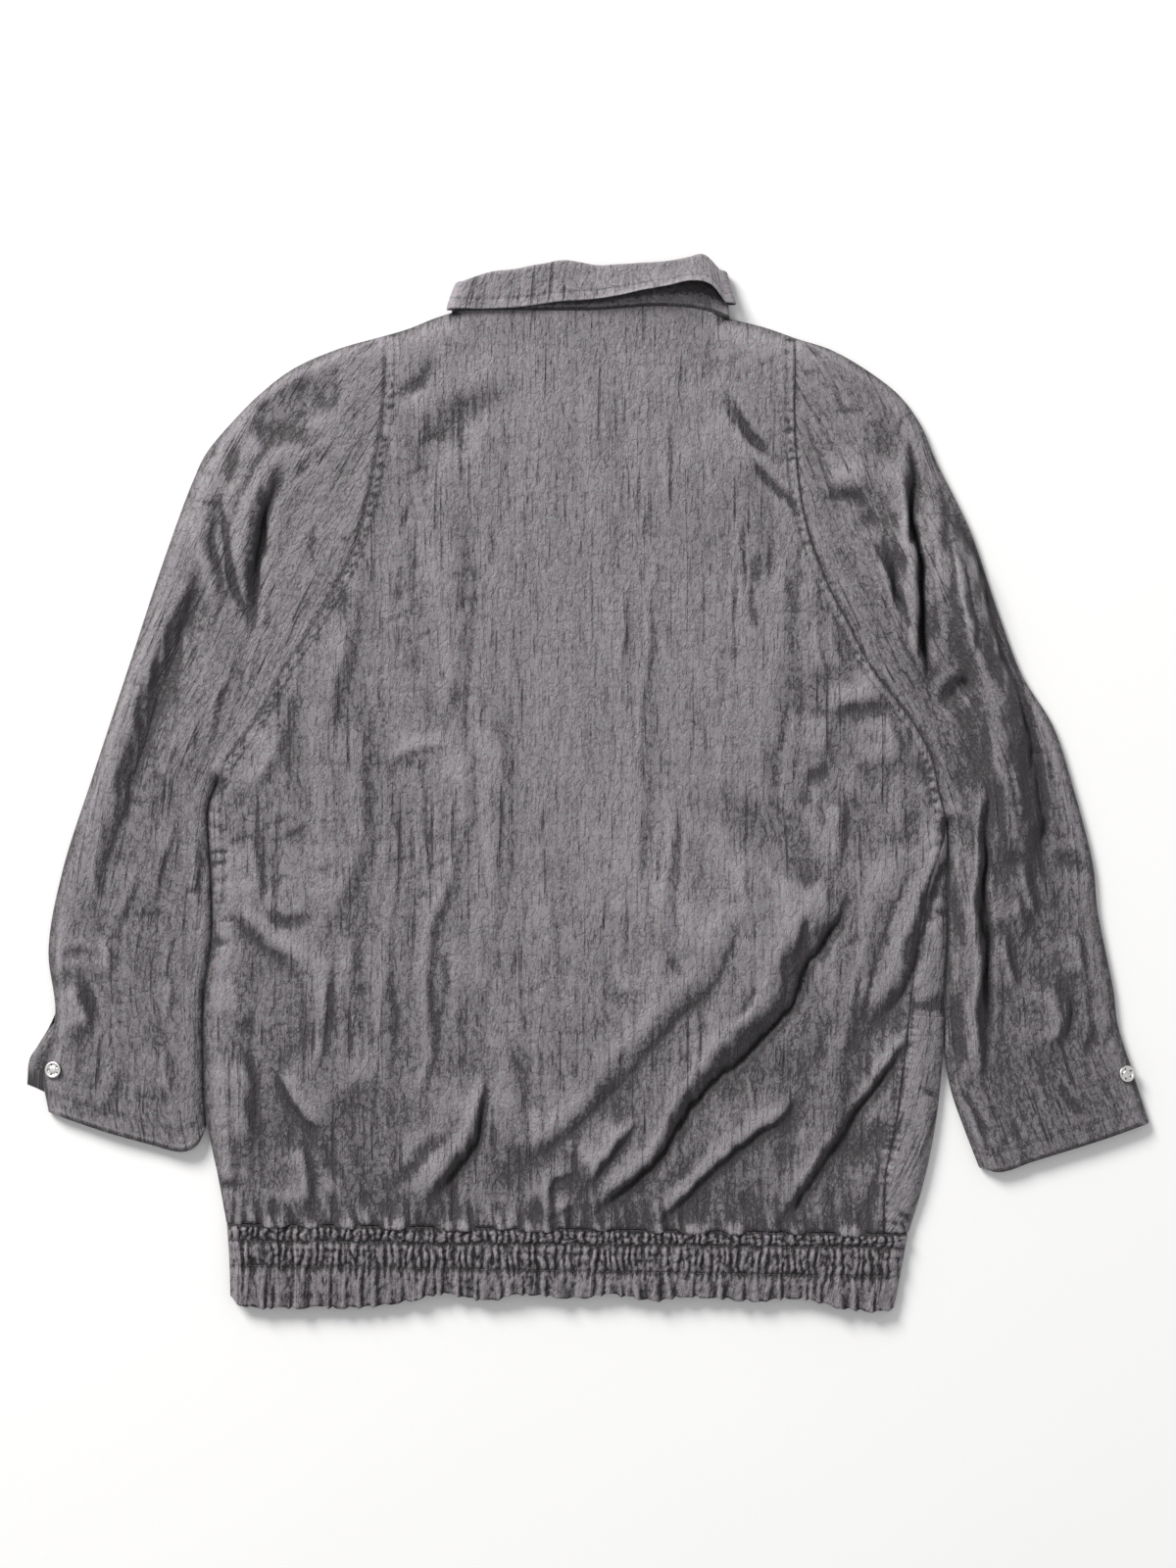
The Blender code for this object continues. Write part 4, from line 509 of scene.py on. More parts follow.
def silhouette_lines():
    """Every folded edge of the laid jacket."""
    lines = [BACK_TOP_LINE[BACK_TOP_LINE[:, 0] <= NECK_X["left"]],
             BACK_TOP_LINE[BACK_TOP_LINE[:, 0] >= NECK_X["right"]]]
    for name in SIDES:
        line = SIDE_LINE[name]
        lines.append(line[line[:, 0] <= UNDERARM_Y[name] + 0.01][:, ::-1])
        lines.append(SLEEVE_LINES[name]["outer"])
        lines.append(SLEEVE_LINES[name]["inner"])
        lines.append(smooth_line([(x, y) for y, x in BAND_EDGES[name]], 20))
    return lines


def span_place(x, y, start, span):
    """How far along a straight span each point is, from 0 to 1, and its offset from there."""
    t = np.clip(((x - start[0]) * span[0] + (y - start[1]) * span[1]) / float(span @ span), 0.0, 1.0)
    return t, x - start[0] - t * span[0], y - start[1] - t * span[1]


def line_place(x, y, line, step=3):
    """Distance in plan from each point to a line, and the place of the nearest point along it."""
    nodes = np.vstack([line[:-1:step], line[-1:]])
    best = np.full(np.shape(x), FAR)
    place = np.zeros(np.shape(x))
    run = 0.0
    for start, span in zip(nodes, np.diff(nodes, axis=0)):
        length = float(np.hypot(*span))
        if length < 1e-6:
            continue
        t, gap_x, gap_y = span_place(x, y, start, span)
        gap = np.hypot(gap_x, gap_y)
        closer = gap < best
        best = np.where(closer, gap, best)
        place = np.where(closer, run + t * length, place)
        run += length
    return best, place


SILHOUETTE = silhouette_lines()


def edge_distance(x, y):
    return np.min([line_place(x, y, line)[0] for line in SILHOUETTE], axis=0)


# --- noise and crinkle --------------------------------------------------------------------------
# A wave of the cloth is its height times noise(across / width, along / length, seed), in millimetres.


def hashed(ix, iy, seed):
    value = (ix * 374761393 + iy * 668265263 + seed * 974634777) & 0xFFFFFFFF
    value = ((value ^ (value >> 13)) * 1274126177) & 0xFFFFFFFF
    return (value ^ (value >> 16)) & 0xFFFFFFFF


def noise(u, v, seed):
    """Smooth gradient noise from about -1 to 1, one wave to a unit. v may be one number."""
    iu = np.floor(u).astype(np.int64)
    iv = np.floor(v).astype(np.int64)
    fu, fv = u - iu, v - iv

    def corner(du, dv):
        angle = hashed(iu + du, iv + dv, seed) * (math.tau / 2.0 ** 32)
        return np.cos(angle) * (fu - du) + np.sin(angle) * (fv - dv)

    su = fu ** 3 * (fu * (fu * 6.0 - 15.0) + 10.0)
    sv = fv ** 3 * (fv * (fv * 6.0 - 15.0) + 10.0)
    low = corner(0, 0) * (1.0 - su) + corner(1, 0) * su
    high = corner(0, 1) * (1.0 - su) + corner(1, 1) * su
    return 1.5 * (low * (1.0 - sv) + high * sv)


def crease(u, v, seed):
    """Distance-like noise from 0 on its sharp lines to about 1 between them."""
    return np.minimum(2.4 * np.abs(noise(u, v, seed)), 1.0)


def spindles(u, v, seed, level):
    """Long separate hollows: 1 where noise is at its highest, and 0 over the rest of the cloth."""
    return smooth_step((noise(u, v, seed) - level) / (0.95 - level))


def crinkle(u, v, seed, rough=1.0):
    """Height of the crinkled cloth: u runs across its grain and v along it."""
    wu = u + 5.0 * noise(u / 45.0, v / 90.0, seed + 1) + 1.2 * noise(u / 12.0, v / 28.0, seed + 2)
    wv = v + 14.0 * noise(u / 60.0, v / 70.0, seed + 3)
    crumple = rough * smooth_step(0.5 + 1.3 * noise(u / 62.0, v / 90.0, seed + 8))
    broad = (0.1 + 1.0 * rough) * noise(wu / 30.0, wv / 170.0, seed + 4)
    valleys = -(0.35 + 0.8 * crumple) * spindles(wu / 8.0, wv / 110.0, seed + 5, 0.3)
    short = -(0.1 + 0.5 * crumple) * spindles(wu / 6.0, wv / 40.0, seed + 6, 0.25)
    ribs = (0.1 + 0.2 * crumple) * noise(wu / 4.4, wv / 34.0, seed + 7)
    lean = u * 0.8 + v * 0.6
    across = -0.8 * crumple * spindles(lean / 26.0, (v - 0.5 * u) / 7.5, seed + 9, 0.3)
    return broad + valleys + short + ribs + across


def spread(value, done):
    """A fold's size at each place along it: one number, or several from its start to its end."""
    if isinstance(value, tuple):
        return np.interp(done, np.linspace(0.0, 1.0, len(value)), value)
    return value


def fold_height(x, y, fold, piece_share):
    """Height that one fold adds: a ridge or trough along its path, fading at both ends."""
    path, height, steep, easy = fold
    line = smooth_line(path, 10 + 2 * len(path))
    reach = FOLD_REACH * max(np.max(steep), np.max(easy))
    low, high = line.min(axis=0) - reach, line.max(axis=0) + reach
    value = np.zeros(np.shape(x))
    near = (x > low[0]) & (x < high[0]) & (y > low[1]) & (y < high[1])
    if not near.any():
        return value
    px, py = x[near], y[near]
    gap = np.full(px.shape, FAR)
    turn = np.zeros(px.shape)
    for start, span in zip(line, np.diff(line, axis=0)):
        _, gap_x, gap_y = span_place(px, py, start, span)
        here = np.hypot(gap_x, gap_y)
        closer = here < gap
        gap = np.where(closer, here, gap)
        turn = np.where(closer, (span[0] * gap_y - span[1] * gap_x) / math.hypot(*span), turn)
    chord = line[-1] - line[0]
    done, _, _ = span_place(px, py, line[0], chord)
    length = float(np.hypot(*chord))
    ridge = np.min(height) > 0.0
    end = min(FOLD_END, FADE_LENGTH / length) if ridge else HOLLOW_END
    fade = smooth_step(done / end) * smooth_step((1.0 - done) / end)
    share = (FOLD_SHARE if ridge else HOLLOW_SHARE) * min(1.0, length / FULL_LENGTH) * piece_share
    steep, easy = spread(steep, done), spread(easy, done)
    high = share * spread(height, done) * fade
    steep_side = 1.0 - smooth_step(gap / steep)
    foot = FOOT_SHARE * smooth_step(high / FOOT_FULL_HEIGHT)
    steep_side = steep_side - foot * bell(gap - FOOT_PLACE * steep, FOOT_WIDTH)
    easy_side = np.exp(-((gap / (EASY_SPREAD * easy)) ** SOFT_POWER))
    hollow = bell(gap, np.where(turn > 0.0, steep, easy))
    value[near] = high * np.where(high < 0.0, hollow, np.where(turn > 0.0, steep_side, easy_side))
    return value


def warped(x, y):
    """The places where folds are looked up, shaken a little so that no fold runs too evenly."""
    dx = 2.4 * noise(x / 34.0, y / 42.0, 501) + 2.0 * noise(x / 6.5, y / 26.0, 502)
    dy = 2.4 * noise(x / 42.0, y / 42.0, 503) + 1.5 * noise(x / 13.0, y / 17.0, 504)
    return x + dx, y + dy


def fold_sum(x, y, piece):
    wx, wy = warped(x, y)
    total = np.zeros(np.shape(x))
    for fold in FOLDS[piece]:
        total = total + fold_height(wx, wy, fold, PIECE_SHARE[piece])
    return total


SEEDS = {"left": {"armhole": 31, "edge": 61, "sleeve": 61, "front": 101, "sleeve_under": 141},
         "right": {"armhole": 41, "edge": 71, "sleeve": 81, "front": 121, "sleeve_under": 161}}
# The middle of the back, where the cloth is smoother
CALM = {"x": 15.0, "half_width": 40.0, "fade": 60.0, "low_y": -170.0, "over": 120.0, "share": 0.75}
GATHERS = {"height": 2.0, "reach": 15.0, "lean": 0.45}
LOBES = {"drop": 3.2, "lift": 2.8, "fade": 14.0}
WAIST_FADE = 12.0
SEAM_DEPTH = 0.9
TOPSTITCH = 7.0
TOPSTITCH_DEPTH = 0.45
DASH_DEPTH = 0.8
DENT_DEPTH = 3.2


def body_relief(x, y):
    """Folds, crinkle and sewn marks of the back's cloth, and of the front's where it wraps over."""
    above = y - waist_y(x)
    folds = fold_sum(x, y, "body") * (0.45 + 0.55 * smooth_step(above / WAIST_FADE))
    calm = bell(np.maximum(np.abs(x - CALM["x"]) - CALM["half_width"], 0.0), CALM["fade"])
    calm = calm * smooth_step((y - CALM["low_y"]) / CALM["over"])
    cloth = crinkle(x, y, 11, 1.0 - CALM["share"] * calm)
    lean = x + GATHERS["lean"] * above * smooth_step(0.5 + noise(x / 90.0, 0.3, 21))
    pinch = crease(lean / 12.0, above / 220.0, 22) + 0.6 * crease(lean / 6.5, above / 110.0, 23) - 0.9
    reach = GATHERS["reach"] * (1.0 + 0.6 * noise(x / 22.0, 0.7, 24))
    gather = GATHERS["height"] * pinch * bell(above - 2.0, reach)
    full = lobes(x)
    marks = LOBES["lift"] * full * bell(above, 6.0) - SEAM_DEPTH * (1.0 - full) * bell(above, 1.6)
    for side in SIDES:
        distance, place = line_place(x, y, ARMHOLE_LINE[side], 6)
        marks = marks + armhole_marks(distance, place, SEEDS[side]["armhole"])
        cloth = cloth * seam_quiet(distance)
        marks = marks - edge_dents(np.abs(x - side_x(side, y)), y, SEEDS[side]["edge"])
    seam_gap = np.abs(x - seam_x(y)) + np.where(y > UNDERARM_Y["right"], 100.0, 0.0)
    marks += -SEAM_DEPTH * bell(seam_gap, 1.5) + 0.8 * pucker(seam_gap, y, 2.0, 4.0, 51)
    return folds + cloth + gather + marks


def lobes(x):
    """Where the full cloth of the back billows over the waist seam: 1 in the middle of a lobe."""
    full = smooth_step(0.42 + 1.9 * noise(x / 23.0, 0.2, 25))
    ends = smooth_step((x - WAIST_LEFT_X) / LOBES["fade"]), smooth_step((WAIST_SEAM_X - x) / LOBES["fade"])
    return full * ends[0] * ends[1]


def edge_dents(gap, y, seed):
    """Short creases across the body's folded side edges, in uneven groups below the underarm."""
    group = smooth_step(0.55 + 1.5 * noise(y / 34.0, 0.6, seed)) * smooth_step(-y / 30.0)
    lean = y + 0.55 * gap * noise(y / 60.0, 1.4, seed + 1)
    dent = spindles(gap / 30.0 + 0.3, lean / 6.5, seed + 2, 0.05)
    return DENT_DEPTH * group * dent * bell(gap - 5.0, 9.0)


def seam_quiet(distance):
    """Crinkle is sewn flat on a seam and comes back beside it."""
    return smooth_step(0.08 + distance / 9.0)


def pucker(distance, place, centre, width, seed):
    """Small puckers square to a row of stitches."""
    wave = np.sin(math.tau * (place / 5.2 + 0.5 * noise(place / 9.0, 0.0, seed)))
    size = 0.7 + 0.6 * noise(place / 17.0, 0.4, seed + 1)
    return wave * size * bell(distance - centre, width)


def armhole_marks(distance, place, seed):
    """On the body's side of an armhole: the seam's groove, its felled allowance and the topstitch."""
    allowance = 0.45 * smooth_step(distance / 1.8) * smooth_step((TOPSTITCH + 1.0 - distance) / 1.6)
    groove = -SEAM_DEPTH * bell(distance, 1.3) - TOPSTITCH_DEPTH * bell(distance - TOPSTITCH, 0.9)
    return allowance + groove - DASH_DEPTH * dashes(distance, place, seed + 2)


def dashes(distance, place, seed):
    """The short creases that the topstitch pulls into a felled allowance: 1 in each of them."""
    wave = np.sin(math.tau * (place / 7.4 + 0.45 * noise(place / 13.0, 0.0, seed)))
    size = smooth_step(0.75 + 0.9 * noise(place / 24.0, 0.4, seed + 1))
    return smooth_step((wave - 0.15) / 0.8) * size * bell(distance - 5.0, 3.6)


SLEEVE_CRINKLE = 0.85


def crown_height(x, y, piece):
    """Height of the plain top cloth away from the folded edges, and its share away from the neck."""
    outward = smooth_step((np.abs(x) - SLEEVE_BLEND["from"]) / SLEEVE_BLEND["over"])
    base = BODY_HEIGHT + (CUFF_HEIGHT - BODY_HEIGHT) * outward
    if piece == "body":
        base = WAIST_HEIGHT + (base - WAIST_HEIGHT) * smooth_step((y - waist_y(x)) / WAIST_BLEND)
    beside = np.maximum(np.abs(x - CENTRE_X) - NECK_BLEND["half_width"], 0.0)
    below = np.minimum(y - back_top_y(x), 0.0)
    neck = smooth_step(np.hypot(beside, below) / NECK_BLEND["over"])
    return NECK_HEIGHT + (base - NECK_HEIGHT) * neck, neck


def soft_floor(height, floor):
    """Height that never falls under the floor, with a soft approach to it."""
    over = height - floor
    return floor + np.where(over > 1.0, over, np.exp(np.minimum(over, 1.0) - 1.0))


def top_surface(x, y, piece, u=None, v=None):
    """Height of the upper cloth, with its folds and crinkle."""
    distance = edge_distance(x, y)
    if piece == "body":
        base, neck = crown_height(x, y, "body")
        crown = base + body_relief(x, y) * (0.3 + 0.7 * neck)
    else:
        gap, place = line_place(x, y, ARMHOLE_LINE[piece], 4)
        blend = smooth_step(gap / ARMHOLE_BLEND)
        base, neck = crown_height(x, y, piece)
        body_base, _ = crown_height(x, y, "body")
        cloth = crinkle(u, v, SEEDS[piece]["sleeve"]) * SLEEVE_CRINKLE * seam_quiet(gap)
        own = fold_sum(x, y, piece) + cloth
        shared = fold_sum(x, y, "body") + cloth
        seam = -0.8 * bell(gap, 1.4) + 0.3 * pucker(gap, place, 1.0, 3.0, 95)
        crown = (base + own) * blend + (body_base + shared) * (1.0 - blend) + seam
    over_laps = smooth_step((LIFT_HALF_WIDTH - np.abs(x - CENTRE_X)) / LIFT_FADE)
    crown = soft_floor(crown, LEAST_HEIGHT - FREE_DEPTH * (1.0 - over_laps))
    return EDGE_LEVEL + (crown - EDGE_LEVEL) * quarter_round(distance / TOP_ROUND)


def under_surface(x, y, u, v, seed):
    """Height of the under cloth, which rests flat: its crinkle only lifts it off the surface."""
    distance = edge_distance(x, y)
    rise = EDGE_LEVEL * (1.0 - quarter_round(distance / UNDER_ROUND))
    lift = np.maximum(0.5 + 0.5 * crinkle(u, v, seed), 0.0) * SLEEVE_CRINKLE
    for side in SIDES:
        lift = lift * seam_quiet(line_place(x, y, ARMHOLE_LINE[side], 6)[0])
    return rise + lift * smooth_step(distance / UNDER_ROUND)


def front_lift(x, y, side):
    """How far a front stands off the surface: at the overlap, the neckline and its pocket."""
    overlap = smooth_step(1.0 - (np.abs(x - CENTRE_X) - OVERLAP - LIFT_MARGIN) / LIFT_FADE)
    at_waist = smooth_step((y - waist_y(x) - LIFT_MARGIN) / LIFT_FADE)
    below_neck = np.maximum(front_top_y(x) - y - LIFT_MARGIN, 0.0)
    beside = np.maximum(np.abs(x - CENTRE_X) - LIFT_HALF_WIDTH, 0.0)
    neckline = smooth_step(1.0 - np.hypot(below_neck, beside) / LIFT_FADE)
    lift = FRONT_LIFT * np.maximum(overlap * at_waist, neckline)
    if side == "left":
        across = smooth_step(1.0 - (x - LEFT_POCKET["inner_x"]) / POCKET_FADE)
        across = across * smooth_step(1.0 - (LEFT_POCKET["outer_x"] - x) / POCKET_FADE)
    else:
        across = smooth_step(1.0 - (side_x("right", y) - POCKET_WIDTH - x) / POCKET_FADE)
    up = smooth_step(1.0 - (y - POCKET_MOUTH_Y) / POCKET_FADE)
    lift = np.maximum(lift, (POCKET_WALL + LAYER_GAP) * across * up)
    if side == "right":
        under_lap = smooth_step(1.0 - (x - CENTRE_X - OVERLAP - LIFT_MARGIN) / LIFT_FADE)
        lift = lift + (WALL + LAYER_GAP) * under_lap
    return lift


# --- meshes -------------------------------------------------------------------------------------

MERGE = 2e-5
STEEP_FROM = 0.004
STEEP_OVER = 0.2
STEEP_POWER = 0.6
# Share of the painted shade on steep faces that is kept on the rolls along the silhouette, and the width over
# which it comes back
RIM_SHADE_SHARE = 0.25
RIM_WIDTH = 12.0
# Painted shading of hollows (darker) and crests (lighter) against their near and their far surroundings, and
# the painted shading's range
HOLLOW_NEAR = 0.58
HOLLOW_FAR = 0.10
PAINTED_SHADING_RANGE = (-4.5, 1.5)


def local_mean(z, reach):
    """Each point's height averaged over its neighbours in the grid."""
    for axis in (0, 1):
        padded = np.concatenate([np.repeat(np.take(z, [0], axis), reach + 1, axis), z,
                                 np.repeat(np.take(z, [-1], axis), reach, axis)], axis)
        total = np.cumsum(padded, axis)
        size = z.shape[axis]
        high = np.take(total, np.arange(2 * reach + 1, 2 * reach + 1 + size), axis)
        z = (high - np.take(total, np.arange(size), axis)) / (2 * reach + 1)
    return z


def steepness(x, y, z):
    """From 0 where the cloth lies flat to 1 where it stands steep."""
    upright = np.abs(normals(np.stack([x, y, z], axis=-1))[..., 2])
    return smooth_step((1.0 - local_mean(upright, 2) - STEEP_FROM) / STEEP_OVER) ** STEEP_POWER


def rim_shade(x, y):
    """Share of the painted shade on steep cloth: little of it on the rolls along the silhouette."""
    return RIM_SHADE_SHARE + (1.0 - RIM_SHADE_SHARE) * smooth_step(edge_distance(x, y) / RIM_WIDTH)


class Cloth:
    """Grids of points collected into one mesh, with grain coordinates and painted shading for its material:
    lighter on crests, darker in hollows and on steep faces.
    """

    def __init__(self, name):
        self.name = name
        self.points, self.grain, self.crest, self.faces = [], [], [], []
        self.count = 0

    def add(self, x, y, z, u, v, flip=False, facing=1.0, reach=5, shade=1.0, extra_shade=0.0):
        """Adds a grid. u and v are its grain's coordinates, facing the side that shows, reach the size of
        hollows that get painted shade, shade the share of painted shade on steep faces, and the last
        argument more painted shade laid over all."""
        rows, columns = x.shape
        index = self.count + np.arange(rows * columns).reshape(rows, columns)
        a, b = index[:-1, :-1].ravel(), index[:-1, 1:].ravel()
        c, d = index[1:, 1:].ravel(), index[1:, :-1].ravel()
        self.faces.append(np.stack([a, d, c, b] if flip else [a, b, c, d], axis=1))
        self.points.append(np.stack([x, y, z], axis=-1).reshape(-1, 3))
        self.grain.append(np.stack([u, v], axis=-1).reshape(-1, 2))
        # Painted shading: lighter on crests, painted shade in hollows, on steep faces and wherever more is
        # asked
        hollow = HOLLOW_NEAR * (z - local_mean(z, reach)) + HOLLOW_FAR * (z - local_mean(z, 3 * reach))
        self.crest.append((facing * hollow - shade * steepness(x, y, z) - extra_shade).ravel())
        self.count += rows * columns
        return self

    def make(self, material, merge=False):
        mesh = bpy.data.meshes.new(self.name)
        mesh.from_pydata((np.vstack(self.points) * MM).tolist(), [], np.vstack(self.faces).tolist())
        grain = (np.vstack(self.grain) * MM).astype(np.float32)
        layer = mesh.uv_layers.new(name="grain")
        corner = np.empty(len(mesh.loops), dtype=np.int32)
        mesh.loops.foreach_get("vertex_index", corner)
        layer.data.foreach_set("uv", grain[corner].ravel())
        # The painted shading goes to the material as a point attribute
        crest = np.clip(np.concatenate(self.crest), *PAINTED_SHADING_RANGE).astype(np.float32)
        mesh.attributes.new("crest", "FLOAT", "POINT").data.foreach_set("value", crest)
        if merge:
            shape = bmesh.new()
            shape.from_mesh(mesh)
            bmesh.ops.remove_doubles(shape, verts=shape.verts, dist=MERGE)
            shape.to_mesh(mesh)
            shape.free()
        return finish_mesh(mesh, self.name, material)


def finish_mesh(mesh, name, material):
    mesh.shade_smooth()
    mesh.materials.append(material)
    piece = bpy.data.objects.new(name, mesh)
    bpy.context.scene.collection.objects.link(piece)
    return piece


FOLD_STEPS = [0.0, 0.3, 0.8, 1.5, 2.5, 3.8, 5.4, 7.4]
SEAM_STEPS = [0.0, 0.5, 1.2, 2.2]
LAP_STEPS = [0.0, 0.8, 2.0]
WRAP_SHARES = np.array([0.02, 0.05, 0.1, 0.17, 0.26, 0.37, 0.5, 0.63, 0.76, 0.88, 0.96, 1.0])
# A turned edge as (share of the strip's reach back inside, share of its drop)
ROLL_TURN = [(0.0, 0.5), (0.3, 0.95), (1.0, 1.2)]
HEM_TURN = [(-0.02, 0.3), (0.02, 0.9), (0.3, 1.0), (1.0, 1.05)]
GRID = {"body_rows": 245, "back": 366, "front_rows": 150, "front": 66, "pocket_rows": 54, "pocket": 84,
        "sleeve_upper": 170, "sleeve_lower": 180, "sleeve_top": 104, "sleeve_under": 32}


def steps_across(near, middle, far):
    """Places across a row of any width w, each as a + b * w: fixed steps at its ends, even between."""
    share = np.linspace(0.0, 1.0, middle + 1)
    a = near[-1] * (1.0 - share) - far[0] * share
    a = np.concatenate([near[:-1], a, [-step for step in far[1:]]])
    b = np.concatenate([np.zeros(len(near) - 1), share, np.ones(len(far) - 1)])
    return a, b


def turned(grid, axis, last, back, reach, drop, turn=ROLL_TURN):
    """Adds a turned-in edge to a grid's first or last row or column: back is the plan direction
    back into the piece, reach its width and drop how far it goes in below the face."""
    pick = (slice(None), -1 if last else 0) if axis else (-1 if last else 0, slice(None))
    edge = [values[pick] for values in grid]
    moves = [(back[0], 0.0), (back[1], 0.0), (0.0, -1.0)]
    strips = [[value + flat * reach * part + down * drop * low for part, low in turn]
              for value, (flat, down) in zip(edge, moves)]
    result = []
    for values, rows in zip(grid, strips):
        extra = [np.expand_dims(row, axis) for row in rows]
        parts = [values] + extra if last else extra[::-1] + [values]
        result.append(np.concatenate(parts, axis=axis))
    return result


def into_piece(grid):
    """Unit plan directions from the last row back towards the one before."""
    back = np.stack([grid[0][-2] - grid[0][-1], grid[1][-2] - grid[1][-1]])
    return back / np.maximum(np.hypot(*back), 1e-6)


def grown(values, count):
    """A grid with its last row repeated."""
    return np.vstack([values] + [values[-1:]] * count)


# --- body ---------------------------------------------------------------------------------------

BODY_LENGTH = SHOULDER_Y["left"] - WAIST_Y
SEAM_ROLL = {"reach": 2.6, "drop": 1.0}
# Painted shade on the back: all over, more towards the hem, there more on the right, at its sides and in the
# armhole's pucker dashes
BACK_PAINTED_SHADE = {"all": 0.25, "low": 0.22, "low_right": 0.18, "sides": 0.15, "dashes": 0.75}
LOW_FADE = {"from": -60.0, "over": 220.0}
LOW_RIGHT_FADE = {"from": -60.0, "over": 120.0}
SIDE_FADE = {"x": 10.0, "from": 60.0, "over": 120.0}
# Painted shade on the fronts: all over, more on the side that faces up, and the share of painted shade on
# steep faces
FRONT_PAINTED_SHADE = {"all": 0.42, "facing": 0.22, "steep": 0.25}
LAP_ROLL = {"reach": 8.0, "drop": 0.5}
POCKET_HEM = 21.0
POCKET_ROLL = {"reach": 6.0, "drop": 0.6}
POCKET_RIM = 0.2
POCKET_HEM_RISE = 0.25
# Painted shade under the pocket's mouth
MOUTH_SHADE = 1.4
LEAST_Z = 0.05


def body_rows(count):
    """Fractions up the body: close together at the waist seam and at the shoulder."""
    a, b = steps_across(SEAM_STEPS, count, FOLD_STEPS[::-1])
    return a / BODY_LENGTH + b


def make_back(material):
    rows = body_rows(GRID["body_rows"])
    y_left = WAIST_Y + rows * BODY_LENGTH
    y_right = WAIST_RIGHT_Y + rows * (SHOULDER_Y["right"] - WAIST_RIGHT_Y)
    start = side_x("left", y_left)
    end = np.where(y_right < UNDERARM_Y["right"], seam_x(y_right), side_x("right", y_right))
    width = (end - start)[:, None]
    a, b = steps_across(FOLD_STEPS, GRID["back"], SEAM_STEPS[::-1])
    offset = a + b * width
    x = start[:, None] + offset
    share = offset / width
    x_low = WAIST_LEFT_X + share * (WAIST_SEAM_X - WAIST_LEFT_X)
    x_high = SHOULDER_X["left"] + share * (SHOULDER_X["right"] - SHOULDER_X["left"])
    r = rows[:, None]
    y = waist_y(x_low) * (1.0 - r) + back_top_y(x_high) * r
    y = y - LOBES["drop"] * lobes(x) * (1.0 - smooth_step((y - waist_y(x)) / WAIST_FADE))
    grid = [x, y, top_surface(x, y, "body")]
    grid = turned(grid, 1, True, (-1.0, 0.0), **SEAM_ROLL)
    x, y, z = turned(grid, 0, False, (0.0, 1.0), **SEAM_ROLL)
    # Painted shade: darker towards the hem, on the right low down, at the sides and in the armhole's pucker
    # dashes
    low = smooth_step((LOW_FADE["from"] - y) / LOW_FADE["over"])
    right = smooth_step((x - LOW_RIGHT_FADE["from"]) / LOW_RIGHT_FADE["over"])
    painted_shade = BACK_PAINTED_SHADE["all"] + low * (BACK_PAINTED_SHADE["low"] + BACK_PAINTED_SHADE["low_right"] * right)
    beside = np.abs(x - SIDE_FADE["x"]) - SIDE_FADE["from"]
    painted_shade = painted_shade + BACK_PAINTED_SHADE["sides"] * smooth_step(beside / SIDE_FADE["over"])
    for side in SIDES:
        distance, place = line_place(x, y, ARMHOLE_LINE[side], 6)
        painted_shade = painted_shade + BACK_PAINTED_SHADE["dashes"] * dashes(distance, place, SEEDS[side]["armhole"] + 2)
    back = Cloth("back_panel").add(x, y, z, x, y, shade=rim_shade(x, y), extra_shade=painted_shade)
    return back.make(material)


def front_grid(side, rows, middle):
    """Plan grid of a front from its overlap edge, and whether each point lies over the fold."""
    left = side == "left"
    sign = -1.0 if left else 1.0
    centre_edge = CENTRE_X - sign * OVERLAP
    low_y, waist_x = (WAIST_Y, WAIST_LEFT_X) if left else (WAIST_RIGHT_Y, WAIST_RIGHT_X)
    y_side = low_y + rows * (SHOULDER_Y[side] - low_y)
    edge = side_x(side, y_side)
    width = np.abs(edge - centre_edge)[:, None]
    a, b = steps_across(LAP_STEPS, middle, FOLD_STEPS[::-1])
    if left:
        offset = a + b * width
    else:
        wrap = np.where(y_side < UNDERARM_Y["right"], edge - seam_x(y_side), 0.0)[:, None]
        fold = width - np.maximum(LEAST_WRAP - wrap, 0.0)
        offset = np.hstack([a + b * fold, fold + np.maximum(wrap, LEAST_WRAP) * WRAP_SHARES])
    over = offset > width + 1e-6
    folded = np.where(over, 2.0 * width - offset, offset)
    share = folded / width
    x_low = centre_edge + share * (waist_x - centre_edge)
    x_high = centre_edge + share * (SHOULDER_X[side] - centre_edge)
    r = rows[:, None]
    y = waist_y(x_low) * (1.0 - r) + front_top_y(x_high) * r
    return centre_edge + sign * folded, y, over


def front_grain(x, y, over, side):
    """Grain coordinate across a front, which runs on round its folded side."""
    return np.where(over, 2.0 * side_x(side, y) - x, x)


def front_surface(x, y, over, side):
    under = under_surface(x, y, x, y, SEEDS[side]["front"])
    under = under + front_lift(x, y, side) * smooth_step(edge_distance(x, y) / UNDER_ROUND)
    if not over.any():
        return under
    return np.where(over, top_surface(x, y, "body"), under)


def make_front(side, material):
    x, y, over = front_grid(side, body_rows(GRID["front_rows"]), GRID["front"])
    z = front_surface(x, y, over, side)
    inward = -1.0 if side == "left" else 1.0
    u = front_grain(x, y, over, side)
    facing = np.where(over, 1.0, -1.0)
    grid = turned([x, y, z], 1, False, (inward, 0.0), LAP_ROLL["reach"], -LAP_ROLL["drop"])
    u, facing = (np.hstack([values[:, :1]] * len(ROLL_TURN) + [values]) for values in (u, facing))
    # Painted shade: all over, more on the top side, and under the pocket's mouth
    mouth_shade = (facing > 0.0) * bell(grid[1] - POCKET_MOUTH_Y - 2.0, 3.0)
    painted_shade = FRONT_PAINTED_SHADE["all"] + FRONT_PAINTED_SHADE["facing"] * facing + MOUTH_SHADE * mouth_shade
    front = Cloth("front_panel_" + side)
    front.add(*grid, u, grid[1], side == "right", facing, 3, FRONT_PAINTED_SHADE["steep"], painted_shade)
    return front.make(material)


